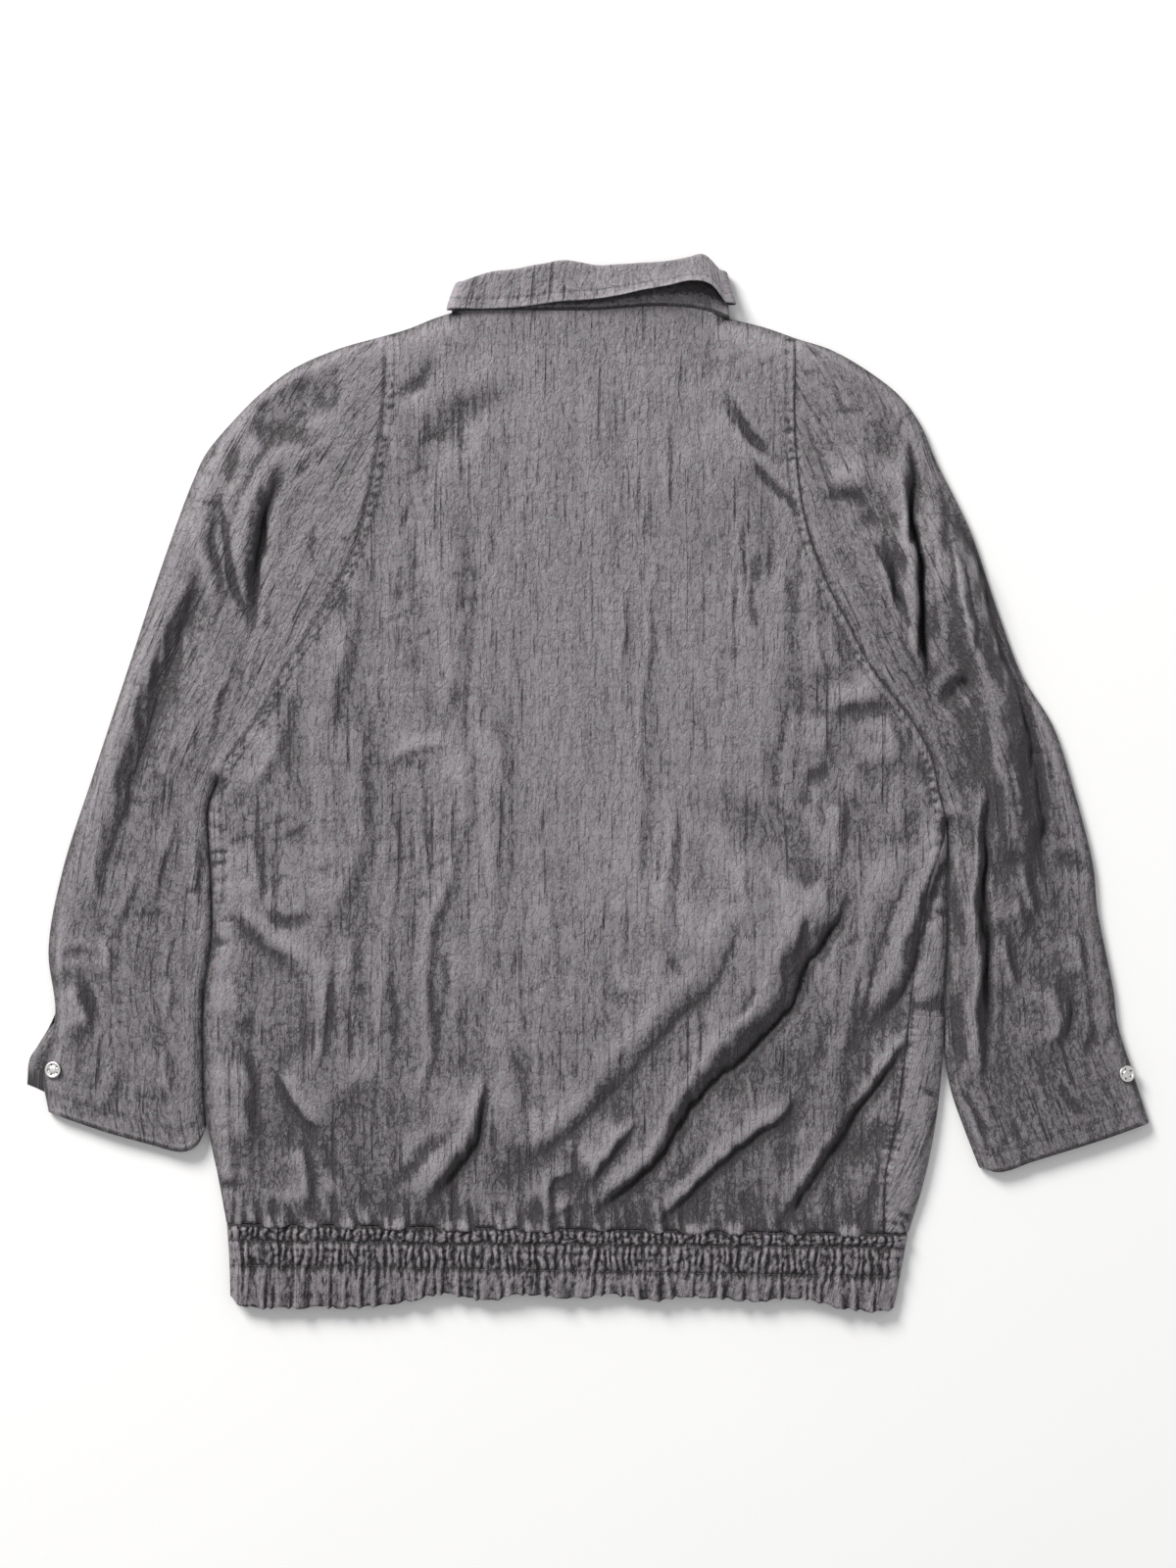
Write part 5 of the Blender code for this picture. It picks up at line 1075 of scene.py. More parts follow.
def make_pocket(side, material):
    """A patch pocket: the front's own form in the pocket's field, moved out, its sewn rim laid down."""
    length = POCKET_MOUTH_Y - WAIST_Y
    a, b = steps_across(LAP_STEPS, GRID["pocket_rows"], LAP_STEPS[::-1])
    rows = (a / length + b) * length / BODY_LENGTH
    x, y, over = front_grid(side, rows, GRID["pocket"])
    if side == "left":
        a, b = steps_across(LAP_STEPS, GRID["pocket"] // 2, LAP_STEPS[::-1])
        columns = LEFT_POCKET["outer_x"] + a + b * (LEFT_POCKET["inner_x"] - LEFT_POCKET["outer_x"])
        up = y[:, :1] - y[0, 0]
        x = np.tile(columns, (len(rows), 1))
        y = waist_y(x) + up
        over = np.zeros(x.shape, bool)
    else:
        first = int(np.argmax(x[-1] > side_x("right", y[-1, -1]) - POCKET_WIDTH))
        x, y, over = x[:, first:], y[:, first:], over[:, first:]
    points = np.stack([x, y, front_surface(x, y, over, side)], axis=-1)
    normal = normals(points)
    to_side = np.minimum(np.linalg.norm(points - points[:, :1], axis=-1),
                         np.linalg.norm(points - points[:, -1:], axis=-1))
    rim = smooth_step(np.minimum(to_side, y - y[:1]) / 1.6)
    hem = smooth_step((y - y[-1:] + POCKET_HEM) / 1.5)
    out = POCKET_RIM + (POCKET_WALL - POCKET_RIM) * rim + POCKET_HEM_RISE * hem * rim
    points = points + out[..., None] * normal
    drop = POCKET_ROLL["drop"] * np.sign(normal[-1, :, 2])
    grid = turned(np.moveaxis(points, -1, 0), 0, True, (0.0, -1.0), POCKET_ROLL["reach"], drop)
    grid[2] = np.maximum(grid[2], LEAST_Z)
    u = grown(front_grain(x, y, over, side), len(ROLL_TURN))
    facing = grown(np.where(over, 1.0, -1.0), len(ROLL_TURN))
    # Painted shade of the pocket: all over, more on the side that faces up
    painted_shade = FRONT_PAINTED_SHADE["all"] + FRONT_PAINTED_SHADE["facing"] * facing
    pocket = Cloth("patch_pocket_" + side)
    pocket.add(*grid, u, grid[1], True, facing, 3, FRONT_PAINTED_SHADE["steep"], painted_shade)
    return pocket.make(material)


# --- sleeves ------------------------------------------------------------------------------------

CUFF_LENGTH = {"left": 250.0, "right": 255.0}
CUFF_HEM = 13.0
HEM_DROP = {"top": 1.1, "under": -0.9}
SLIT_RADIUS = 30.0
# Painted shade where the cuff's slit opens under the flap
FLAP_SHADE = 1.7
UNDER_GRAIN = 300.0
# Painted shade on the sleeves: all over, and more towards the bottom on each side
SLEEVE_PAINTED_SHADE = {"all": 0.38, "left": 0.10, "right": 0.30}
SLEEVE_FADE = {"from": 150.0, "over": 190.0}


def sleeve_rows(side):
    """Both ends of every sleeve row from the shoulder down, and each row's share below the underarm."""
    upper = np.linspace(0.0, 1.0, GRID["sleeve_upper"] + 1)
    lower = np.linspace(0.0, 1.0, GRID["sleeve_lower"] + 1)[1:]
    seam = along(ARMHOLE_LINE[side][::-1], upper)
    split = SLEEVES[side]["at_underarm"]
    outer = along(SLEEVE_LINES[side]["outer"], np.concatenate([upper * split, split + (1.0 - split) * lower]))
    inner = np.vstack([seam, along(SLEEVE_LINES[side]["inner"], lower)])
    return outer, inner, np.concatenate([np.zeros(len(upper)), lower])


def sleeve_plan(side, middle):
    """Plan points of a sleeve from its outer edge across, its grain's coordinates, and each row's
    share below the underarm."""
    outer, inner, below = sleeve_rows(side)
    cuff = SLEEVE_LINES[side]["cuff"]
    width = np.linalg.norm(inner - outer, axis=1)[:, None]
    a, b = steps_across(FOLD_STEPS, middle, FOLD_STEPS[::-1])
    offset = a * np.minimum(1.0, width / 40.0) + b * width
    share = offset / np.maximum(width, 1e-6)
    plan = outer[:, None, :] + share[..., None] * (inner - outer)[:, None, :]
    bow = along(cuff, share) - (cuff[0] + share[..., None] * (cuff[-1] - cuff[0]))
    plan = plan + (below ** 3)[:, None, None] * bow
    length = lengths(0.5 * (outer + inner))
    return plan[..., 0], plan[..., 1], offset - 0.5 * width, -length[:, None] + 0.0 * offset, below


def make_sleeve(side, material):
    extra = len(HEM_TURN)
    flip = side == "right"
    cloth = Cloth("sleeve_panel_" + side)
    x, y, u, v, below = sleeve_plan(side, GRID["sleeve_top"])
    z = top_surface(x, y, side, u, v)
    from_cuff = (1.0 - below[:, None]) * CUFF_LENGTH[side]
    z = z - 0.4 * bell(from_cuff - CUFF_HEM, 1.2) - 0.25 * smooth_step((CUFF_HEM + 1.0 - from_cuff) / 2.0)
    z = z + 0.35 * pucker(from_cuff, u, CUFF_HEM, 3.5, 171)
    z[0] = EDGE_LEVEL
    grid = [x, y, z]
    grid = turned(grid, 0, True, into_piece(grid), CUFF_HEM, HEM_DROP["top"], HEM_TURN)
    # Painted shade, more towards the bottom
    low = smooth_step((SLEEVE_FADE["from"] - grid[1]) / SLEEVE_FADE["over"])
    painted_shade = SLEEVE_PAINTED_SHADE["all"] + SLEEVE_PAINTED_SHADE[side] * low
    cloth.add(*grid, grown(u, extra), grown(v, extra), not flip, 1.0, 5, rim_shade(*grid[:2]), painted_shade)
    x, y, u, v, below = sleeve_plan(side, GRID["sleeve_under"])
    z = under_surface(x, y, u, v, SEEDS[side]["sleeve_under"])
    opened = np.clip((below - SLIT_SHARE) / (1.0 - SLIT_SHARE), 0.0, 1.0)[:, None]
    reach = np.hypot(x - x[:, :1], y - y[:, :1])
    z = z * (1.0 - smooth_step(opened * 4.0) * bell(reach, SLIT_RADIUS))
    pull = opened * bell(reach, FLAP_REACH)
    x = x + pull * SLEEVES[side]["flap"][0]
    y = y + pull * SLEEVES[side]["flap"][1]
    z[0] = EDGE_LEVEL
    grid = [x, y, z]
    grid = turned(grid, 0, True, into_piece(grid), CUFF_HEM, HEM_DROP["under"], HEM_TURN)
    # Painted shade where the slit opens
    painted_shade = FLAP_SHADE * smooth_step(opened * 3.0) * bell(reach - 0.5 * SLIT_RADIUS, 9.0)
    u, v, painted_shade = grown(u, extra) + UNDER_GRAIN, grown(v, extra), grown(painted_shade, extra)
    cloth.add(*grid, u, v, flip, -1.0, 3, 1.0, painted_shade)
    return cloth.make(material, merge=True)


# --- waistband ----------------------------------------------------------------------------------

# The seam and the two rows of stitches below it, as (y at left, y at right)
BAND_LINES = {"seam": (-323.0, -330.6), "first": (-335.5, -341.0), "second": (-353.5, -362.0)}
# The ruffle's hem, as (x, y)
HEM_LINE = [
    (-262, -377), (-254, -383), (-246, -384.5), (-204, -384.5), (-161, -384), (-131, -379.5), (-105, -374.5),
    (-73, -379.5), (-49, -375), (-6, -377.5), (15, -375), (53, -379.5), (70, -376.5), (128, -379.5),
    (154, -377.5), (186, -384.5), (206, -387), (218, -387.5), (224, -386),
]
BAND_HEM_LINE = smooth_line(HEM_LINE)
BAND_ROWS = {"first": 17, "second": 19, "ruffle": 24}
BAND_PARTS = [("first", "seam", "first"), ("second", "first", "second"), ("ruffle", "second", "hem")]
BAND_TOP_COLUMNS = 620
BAND_UNDER_COLUMNS = 120
BAND_CROWN = 9.6
BAND_PUFF = {"first": 1.9, "second": 2.2}
BAND_ROUND = 9.0
# Painted shade on the waistband: a little all over, more under the lobes at the seam, and the share of
# painted shade on steep faces
BAND_PAINTED_SHADE = 0.08
BAND_SEAM_SHADE = 1.2
BAND_STEEP_SHADE = 0.5
BAND_OPEN = 1.5
BAND_HEM = {"reach": 2.6, "drop": 0.8}
UNDER_SHIFT = 700.0
GATHER_WAVE = 5.7
RUFFLE_WAVE = 12.6


def gathers(x, wave, seed, row, roundness=0.7):
    """Round crests between sharp valleys, 0 to 1, of uneven width, height and lean."""
    shift = 0.7 * noise(x / 31.0, 0.3, seed) + 0.5 * noise(x / 9.0, 0.55 * row, seed + 1)
    size = np.clip(0.7 + 0.75 * noise(x / 9.0, 0.8 * row, seed + 2), 0.1, 1.4)
    phase = x / wave + shift
    return size * np.abs(np.sin(math.pi * phase)) ** roundness, np.sin(math.tau * phase)


def band_shape(x, part, share):
    """Height over the crown of one row of the waistband, and its swing in Y."""
    row = share + {"first": 0.0, "second": 1.0, "ruffle": 2.0}[part]
    crumple = 1.1 * (crease(x / 7.0, 2.2 * row, 221) - 0.6) + 0.7 * (crease(x / 4.0, 3.7 * row, 222) - 0.6)
    fine, _ = gathers(x, GATHER_WAVE, 201 if part == "first" else 205, 2.0 * row)
    if part != "ruffle":
        puff = math.sin(math.pi * share) ** 0.6
        height = BAND_PUFF[part] * puff + (0.7 + 2.3 * puff) * (fine - 0.6)
        return height + crumple * (0.3 + 0.7 * puff), 0.0
    wide, swing = gathers(x, RUFFLE_WAVE, 209, 0.5 * row, 0.45)
    flare = 0.3 + 0.7 * share
    height = 0.3 + 1.6 * math.sin(math.pi * min(share * 1.6, 0.5)) + 4.0 * flare * (wide - 0.62)
    height = height + 2.2 * (1.0 - share) ** 2.0 * (fine - 0.6) + 0.55 * crumple * (1.0 - 0.5 * share)
    return height, 0.9 * swing * share


def band_line_y(name, x):
    """Y of the seam, a row of stitches or the hem at each x."""
    if name == "hem":
        return np.interp(x, *BAND_HEM_LINE.T)
    low, high = BAND_LINES[name]
    return low + (x - WAIST_LEFT_X) / (WAIST_RIGHT_X - WAIST_LEFT_X) * (high - low)


def make_waistband(material):
    sides = [smooth_line(BAND_EDGES[side], 60) for side in SIDES]
    rows = []
    for part, start, end in BAND_PARTS:
        rows += [(part, start, end, k / BAND_ROWS[part]) for k in range(BAND_ROWS[part])]
    rows.append(BAND_PARTS[-1] + (1.0,))
    top_a, top_b = steps_across(FOLD_STEPS, BAND_TOP_COLUMNS, FOLD_STEPS[::-1])
    under_a, under_b = steps_across(LAP_STEPS, BAND_UNDER_COLUMNS, FOLD_STEPS[::-1])
    face = np.repeat([-1.0, 1.0, -1.0], [len(under_a) - 1, len(top_a), len(under_a) - 1])
    start_x, end_x = CENTRE_X + BAND_OPEN, CENTRE_X - BAND_OPEN
    points, painted_shade = [], []
    for part, start, end, share in rows:
        middle_y = band_line_y(start, 0.0) * (1.0 - share) + band_line_y(end, 0.0) * share
        x_left, x_right = (float(np.interp(-middle_y, -line[:, 0], line[:, 1])) for line in sides)
        top_x = (x_left + top_a + top_b * (x_right - x_left))[::-1]
        right_x = start_x + under_a + under_b * (x_right - CENTRE_X - BAND_OPEN)
        left_x = (end_x - under_a - under_b * (CENTRE_X - BAND_OPEN - x_left))[::-1]
        x = np.concatenate([right_x[:-1], top_x, left_x[1:]])
        edge = np.minimum(x - x_left, x_right - x)
        shape, swing = band_shape(x, part, share)
        top = EDGE_LEVEL + (BAND_CROWN + shape - EDGE_LEVEL) * quarter_round(edge / BAND_ROUND)
        rise = EDGE_LEVEL * (1.0 - quarter_round(edge / UNDER_ROUND))
        lift, _ = band_shape(x + UNDER_SHIFT, part, share)
        under = rise + 0.55 * np.maximum(2.4 - lift, 0.0) * smooth_step(edge / UNDER_ROUND)
        y = band_line_y(start, x) * (1.0 - share) + band_line_y(end, x) * share + swing
        points.append([x, y, np.where(face > 0.0, top, under)])
        # Painted shade under the back's lobes, along the waist seam
        seam = 1.0 - smooth_step(share / 0.3) if part == "first" else 0.0
        painted_shade.append(BAND_PAINTED_SHADE + BAND_SEAM_SHADE * seam)
    grid = list(np.swapaxes(points, 0, 1))
    run = np.cumsum(np.abs(np.diff(grid[0][0], prepend=grid[0][0][0])))
    grid = turned(grid, 0, True, into_piece(grid), BAND_HEM["reach"], BAND_HEM["drop"] * face, HEM_TURN)
    extra = len(HEM_TURN)
    u = np.tile(run, (len(rows) + extra, 1))
    painted_shade = np.concatenate([painted_shade, [BAND_PAINTED_SHADE] * extra])[:, None] + 0.0 * grid[0]
    band = Cloth("gathered_waistband").add(*grid, u, grid[1], False, 1.0, 4, BAND_STEEP_SHADE, painted_shade)
    return band.make(material)


# --- collar -------------------------------------------------------------------------------------

COLLAR_THICKNESS = 1.0
COLLAR_STATIONS = {"front": 44, "turn": 13, "back": 104}
COLLAR_STEPS = {"stand": 20, "fold": 11, "fall": 26}
COLLAR_TABLE = smooth_line(COLLAR_BACK)
COLLAR_STITCH = 7.0
COLLAR_GRAIN = 0.7
NECK_SEAM_GAP = 0.4
# Painted shadow on the collar's stand under the lifted fall and at the neck seam, and painted shade over all
# the collar
GAP_SHADOW = 3.0
COLLAR_PAINTED_SHADE = 0.3
ON_BACK = 0.97


def neck_y(line, x):
    slope = (line(x + 1.0) - line(x - 1.0)) / 2.0
    return float(line(x)) + NECK_SEAM_GAP * math.hypot(1.0, float(slope))


def collar_stations():
    """Stations round the neck from the right front's centre over the back to the left front's, as
    (x, y, z, outward x, outward z, share of the way from the front to the back)."""
    half_height = 0.5 * (NECK_HEIGHT - FRONT_LIFT)
    halves = {}
    for side, sign in (("right", 1.0), ("left", -1.0)):
        corner = NECK_X[side]
        half = [(x, neck_y(front_top_y, x - sign * 0.01), FRONT_LIFT, 0.0, -1.0, 0.0)
                for x in np.linspace(CENTRE_X + sign * BAND_OPEN, corner, COLLAR_STATIONS["front"])]
        for angle in np.linspace(-0.5 * math.pi, 0.5 * math.pi, COLLAR_STATIONS["turn"])[1:-1]:
            x = corner + sign * COLLAR_SIDE * math.cos(angle)
            z = FRONT_LIFT + half_height * (1.0 + math.sin(angle))
            out_x, out_z = half_height * math.cos(angle), COLLAR_SIDE * math.sin(angle)
            size = math.hypot(out_x, out_z)
            half.append((x, neck_y(back_top_y, x), z, sign * out_x / size, out_z / size,
                         0.5 + 0.5 * math.sin(angle)))
        halves[side] = half
    across = np.linspace(NECK_X["right"], NECK_X["left"], COLLAR_STATIONS["back"])
    middle = [(x, neck_y(back_top_y, x), NECK_HEIGHT, 0.0, 1.0, 1.0) for x in across]
    return halves["right"] + middle + halves["left"][::-1]


def collar_sizes(x, share):
    """Fold height, fall width and the fall's lift at a station."""
    fold, fall, lift = (float(np.interp(x, COLLAR_TABLE[:, 0], COLLAR_TABLE[:, k])) for k in (1, 2, 3))
    if share < 0.5:
        inward = float(smooth_step(min(x - NECK_X["left"], NECK_X["right"] - x) / COLLAR_BLEND))
        fold += (COLLAR_FRONT_FOLD - fold) * inward
        fall += (COLLAR_FRONT_FALL - fall) * inward
    return fold, fall, lift * share * share


def collar_section(fold, fall, lift, turn):
    """Section of the collar's outer face, as (height above the seam, distance outward)."""
    radius = 0.5 * (turn + WALL)
    top = fold - radius
    section = [(part * top, -WALL) for part in np.linspace(-0.03, 1.0, COLLAR_STEPS["stand"])[:-1]]
    for angle in np.linspace(0.0, math.pi, COLLAR_STEPS["fold"]):
        section.append((top + radius * math.sin(angle), turn - radius - radius * math.cos(angle)))
    for part in np.linspace(0.0, 1.0, COLLAR_STEPS["fall"] + 1)[1:]:
        section.append((top - fall * part, turn + lift * part * (0.6 + 0.4 * part)))
    return np.array(section)


def collar_relief(length, across, on_back):
    """Folds, crinkle and stitch marks of the collar, over its section's length."""
    cloth = 0.35 * crinkle(across * COLLAR_GRAIN, length * 1.3 + 40.0, 301)
    cloth = cloth + 0.9 * noise(across / 21.0, length / 34.0, 311) * smooth_step(length / 30.0)
    cloth = cloth * smooth_step(length / 5.0) * (0.35 + 0.65 * on_back)
    from_edge = length[-1] - length
    sewn = 0.4 * bell(from_edge - COLLAR_STITCH, 1.1)
    sewn = sewn - 0.55 * pucker(from_edge, across, COLLAR_STITCH, 4.0, 321)
    return sewn - cloth, int(np.argmin(np.abs(from_edge - COLLAR_STITCH)))


def there_and_back(values, back, last):
    """Sections closed into loops: up the outer face, round the rim, back down the inner one."""
    return np.concatenate([values, last, back[:, ::-1], values[:, :1]], axis=1)


def make_collar(material):
    """The collar, and the plan line of the stitches that show on its fall."""
    stations = collar_stations()
    outer, inner, run, walk, dark, line = [], [], [], [], [], []
    walked = 0.0
    last = stations[0]
    for station in stations:
        x, y, z, out_x, out_z, share = station
        walked += math.dist(station[:3], last[:3])
        last = station
        turn = COLLAR_TURN["front"] + (COLLAR_TURN["back"] - COLLAR_TURN["front"]) * math.sqrt(share)
        middle = (x - NECK_X["left"]) / (NECK_X["right"] - NECK_X["left"])
        lean = COLLAR_LEFT_LEAN * (1.0 - middle) ** 3 + COLLAR_RIGHT_LEAN * middle ** 3
        fold, fall, lift = collar_sizes(x, share)
        section = collar_section(fold, fall, lift, turn)
        normal = leftward(section)
        length = lengths(section)
        across = np.full(len(section), walked)
        on_back = smooth_step(share * 3.0 - 1.5)
        shift, stitched = collar_relief(length, across, on_back)
        face = section + shift[:, None] * normal
        for path, store in ((face, outer), (face + COLLAR_THICKNESS * normal, inner)):
            height, out = path.T
            bend = lean * np.sign(height) * np.abs(height) ** COLLAR_LEAN_POWER
            level = np.maximum(z + out * out_z, LEAST_Z)
            store.append(np.stack([x + bend + out * out_x, y + height, level], axis=1))
        run.append(across * COLLAR_GRAIN)
        walk.append(length)
        # Painted shadow on the stand: dark under the fall's edge, and in a thin line at the neck seam
        shown = fold - fall
        gap = smooth_step(1.0 - (shown - section[:, 0]) / (0.62 * shown))
        gap = gap + smooth_step(1.0 - section[:, 0] / 2.0)
        stand = np.arange(len(section)) < COLLAR_STEPS["stand"]
        dark.append(np.where(stand, GAP_SHADOW * on_back * gap, 0.0))
        if share > ON_BACK:
            line.append(outer[-1][stitched, :2])
    outer, inner, run, walk, dark = map(np.array, (outer, inner, run, walk, dark))
    rim = outer[:, -1:] * 0.5 + inner[:, -1:] * 0.5 + 0.5 * unit(outer[:, -1:] - outer[:, -2:-1])
    loop = there_and_back(outer, inner, rim)
    run = there_and_back(run, run, run[:, -1:])
    dark = np.concatenate([dark * 0.0, dark[:, -1:], dark[:, ::-1], dark[:, :1] * 0.0], axis=1)
    cloth = Cloth("fold_over_collar")
    # The collar's painted shadow in its gap, and a little painted shade all over
    cloth.add(*np.moveaxis(loop, -1, 0), run, there_and_back(walk, walk + 400.0, walk[:, -1:]),
              True, 1.0, 3, 0.0, dark + COLLAR_PAINTED_SHADE)
    for end, flip in ((0, False), (-1, True)):
        cap = np.stack([outer[end], inner[end]])
        grain = np.stack([walk[end]] * 2)
        cloth.add(*np.moveaxis(cap, -1, 0), grain * 0.0, grain, flip, 1.0, 1, 0.0)
    return cloth.make(material, merge=True), np.array(line)


# --- snaps --------------------------------------------------------------------------------------

SNAP_SIDES = 48
# Rows of the rim that get a painted dark reflection
SNAP_RIM_ROWS = 4
# Cap over the rolled rim, down the dished face and up the centre stud, as (radius, height)
SNAP_PROFILE = [
    (5.7, 0.0), (6.05, 0.25), (6.2, 0.7), (6.1, 1.15), (5.75, 1.5), (5.2, 1.68), (4.65, 1.6), (4.2, 1.35),
    (3.9, 1.05), (3.6, 0.92), (3.1, 0.9), (2.75, 1.0), (2.55, 1.3), (2.2, 1.5), (1.5, 1.58), (0.7, 1.6),
]
SNAP_PRONGS = 5
# dark: the share of a dent's depth over which it gets painted shade
SNAP_PRONG = {"depth": 0.45, "radius": 3.7, "width": 0.7, "dark": 0.15}
CUFF_SNAP_LIFT = 0.4


def tube_faces(base, rings, sides):
    """Faces of a tube of rings of points, closed at both ends."""
    faces = []
    for r in range(rings - 1):
        for s in range(sides):
            a, b = base + r * sides + s, base + r * sides + (s + 1) % sides
            faces.append((a, b, b + sides, a + sides))
    faces.append(tuple(base + s for s in range(sides))[::-1])
    faces.append(tuple(base + (rings - 1) * sides + s for s in range(sides)))
    return faces


def snap_place(node):
    """Centre of a packed snap's base and its outward axis, from the node's own points."""
    corners = [node.matrix_world @ vertex.co for vertex in node.data.vertices]
    points = np.unique(np.round(np.array(corners) / MM, 4), axis=0)
    centre = points.mean(axis=0)
    axis = np.linalg.svd(points - centre)[2][2]
    heights = (points - centre) @ axis
    spread = [np.linalg.norm(points[near] - centre, axis=1).max()
              for near in (heights < heights.min() + 0.1, heights > heights.max() - 0.1)]
    if spread[0] < spread[1]:
        axis, heights = -axis, -heights
    return centre + heights.min() * axis, axis


def make_snap(name, node, material, lift=0.0):
    centre, axis = snap_place(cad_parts[node])
    centre = centre + lift * axis
    side = unit(np.cross(axis, (0.0, 1.0, 0.0)))
    ahead = np.cross(axis, side)
    angle = np.linspace(0.0, math.tau, SNAP_SIDES, endpoint=False)
    around = np.cos(angle)[:, None] * side + np.sin(angle)[:, None] * ahead
    points, painted_dark_mask = [], []
    for row, (radius, height) in enumerate(SNAP_PROFILE):
        prong = np.maximum(np.cos(SNAP_PRONGS * angle), 0.0) ** 3
        prong = SNAP_PRONG["depth"] * prong * float(bell(radius - SNAP_PRONG["radius"], SNAP_PRONG["width"]))
        points.append(centre + (height - prong)[:, None] * axis + radius * around)
        # Painted dark reflection on the rim's rows and painted shade in the prongs' dents
        painted_dark_mask.append((prong > SNAP_PRONG["dark"]) | (row < SNAP_RIM_ROWS))
    mesh = bpy.data.meshes.new(name)
    faces = tube_faces(0, len(SNAP_PROFILE), SNAP_SIDES)
    mesh.from_pydata((np.vstack(points) * MM).tolist(), [], faces)
    painted_dark_mask = np.concatenate(painted_dark_mask).astype(np.float32)
    mesh.attributes.new("painted_dark", "FLOAT", "POINT").data.foreach_set("value", painted_dark_mask)
    shape = bmesh.new()
    shape.from_mesh(mesh)
    bmesh.ops.recalc_face_normals(shape, faces=shape.faces)
    shape.to_mesh(mesh)
    shape.free()
    return finish_mesh(mesh, name, material)


# --- topstitching -------------------------------------------------------------------------------

STITCH = {"length": 2.7, "pitch": 3.7, "start": 0.15, "radius": 0.26, "sides": 6, "lift": 0.12,
          "flatness": 0.75, "tallest": 2.5}
SEEK_HEIGHT = 60.0
# Places along a stitch and the thread's size there
STITCH_RINGS = [(0.0, 0.35), (0.2, 0.85), (0.5, 1.0), (0.8, 0.85), (1.0, 0.35)]


def surface_tree(pieces):
    """The finished cloth as one tree to drop stitches on."""
    points, faces = [], []
    for piece in pieces:
        base = len(points)
        points += [vertex.co / MM for vertex in piece.data.vertices]
        faces += [[base + k for k in face.vertices] for face in piece.data.polygons]
    return BVHTree.FromPolygons(points, faces)


def make_stitches(name, lines, pieces, material, from_above=True):
    """Threads of topstitching along plan lines, each laid on the cloth under it."""
    tree = surface_tree(pieces)
    down = -1.0 if from_above else 1.0
    places = np.array([part for part, _ in STITCH_RINGS])
    around = [math.tau * k / STITCH["sides"] for k in range(STITCH["sides"])]
    points, faces = [], []
    for line in lines:
        length = float(lengths(line)[-1])
        for k in range(int(length / STITCH["pitch"])):
            start = (k + STITCH["start"]) * STITCH["pitch"] / length
            plan = along(line, start + places * STITCH["length"] / length)
            hits = [tree.ray_cast(Vector((px, py, -SEEK_HEIGHT * down)), Vector((0.0, 0.0, down)))
                    for px, py in plan]
            if any(hit[0] is None for hit in hits):
                continue
            spots = np.array([tuple(hit[0]) for hit in hits])
            if np.ptp(spots[:, 2]) > STITCH["tallest"]:
                continue
            up = np.array(tuple(hits[2][1]))
            up = up if up[2] * down < 0.0 else -up
            aside = unit(np.cross(unit(spots[-1] - spots[0]), up))
            base = len(points)
            for spot, (_, size) in zip(spots, STITCH_RINGS):
                for angle in around:
                    out = math.cos(angle) * aside + STITCH["flatness"] * math.sin(angle) * up
                    points.append(spot + up * STITCH["lift"] * size + STITCH["radius"] * size * out)
            faces += tube_faces(base, len(STITCH_RINGS), STITCH["sides"])
    mesh = bpy.data.meshes.new(name)
    mesh.from_pydata((np.array(points) * MM).tolist(), [], faces)
    return finish_mesh(mesh, name, material)


# --- materials ----------------------------------------------------------------------------------

# Colours of the cloth: painted light where it is raised and turned to the light, its cooler cast there, and
# painted shade where it is hollow
CLOTH_COLOURS = ((0.322, 0.281, 0.322, 1.0), (0.284, 0.288, 0.285, 1.0), (0.050, 0.045, 0.050, 1.0))
BAND_COLOURS = ((0.300, 0.260, 0.296, 1.0), (0.264, 0.257, 0.264, 1.0), (0.022, 0.020, 0.022, 1.0))
# Near-black painted shadow, full where the painted shading is lowest
PAINTED_SHADOW_COLOUR = (0.007, 0.007, 0.008, 1.0)
METAL_COLOURS = ((0.76, 0.75, 0.73, 1.0), (0.94, 0.94, 0.94, 1.0))
# Painted dark reflection and painted shade of the snaps
PAINTED_DARK_COLOUR = (0.045, 0.022, 0.018, 1.0)
THREAD_COLOURS = ((0.10, 0.095, 0.10, 1.0), (0.20, 0.19, 0.20, 1.0))
FLOOR_COLOURS = ((0.95, 0.95, 0.95, 1.0), (0.97, 0.97, 0.97, 1.0))
# Separate dark strokes along the grain, with painted shade in their creases: width and length in
# metres, the noise's two levels, their darkness, and their depth and strength as bumps
STROKES = [
    (0.0040, 0.080, 0.28, 0.38, 0.38, -0.0013, 0.6),
    (0.0028, 0.024, 0.30, 0.41, 0.26, -0.0008, 0.6),
    (0.0022, 0.0060, 0.32, 0.44, 0.15, -0.0004, 0.5),
]
# Noise of the cloth: width and length in metres, detail and roughness
BANDS = (0.017, 0.15, 5.0, 0.62)
STREAKS = (0.0026, 0.018, 4.0, 0.66)
WEAVE = (0.0009, 0.0011, 2.0, 0.7)
SPECKLE = (0.0022, 0.0034, 3.0, 0.75)
CRUMPLE = (0.0068, 0.014, 2.5, 0.6)
CLOUDS = (0.05, 0.11, 2.0)
CLOTH_FINISH = {"Sheen Weight": 0.12, "Sheen Roughness": 0.45, "IOR": 1.5, "Specular IOR Level": 0.3}


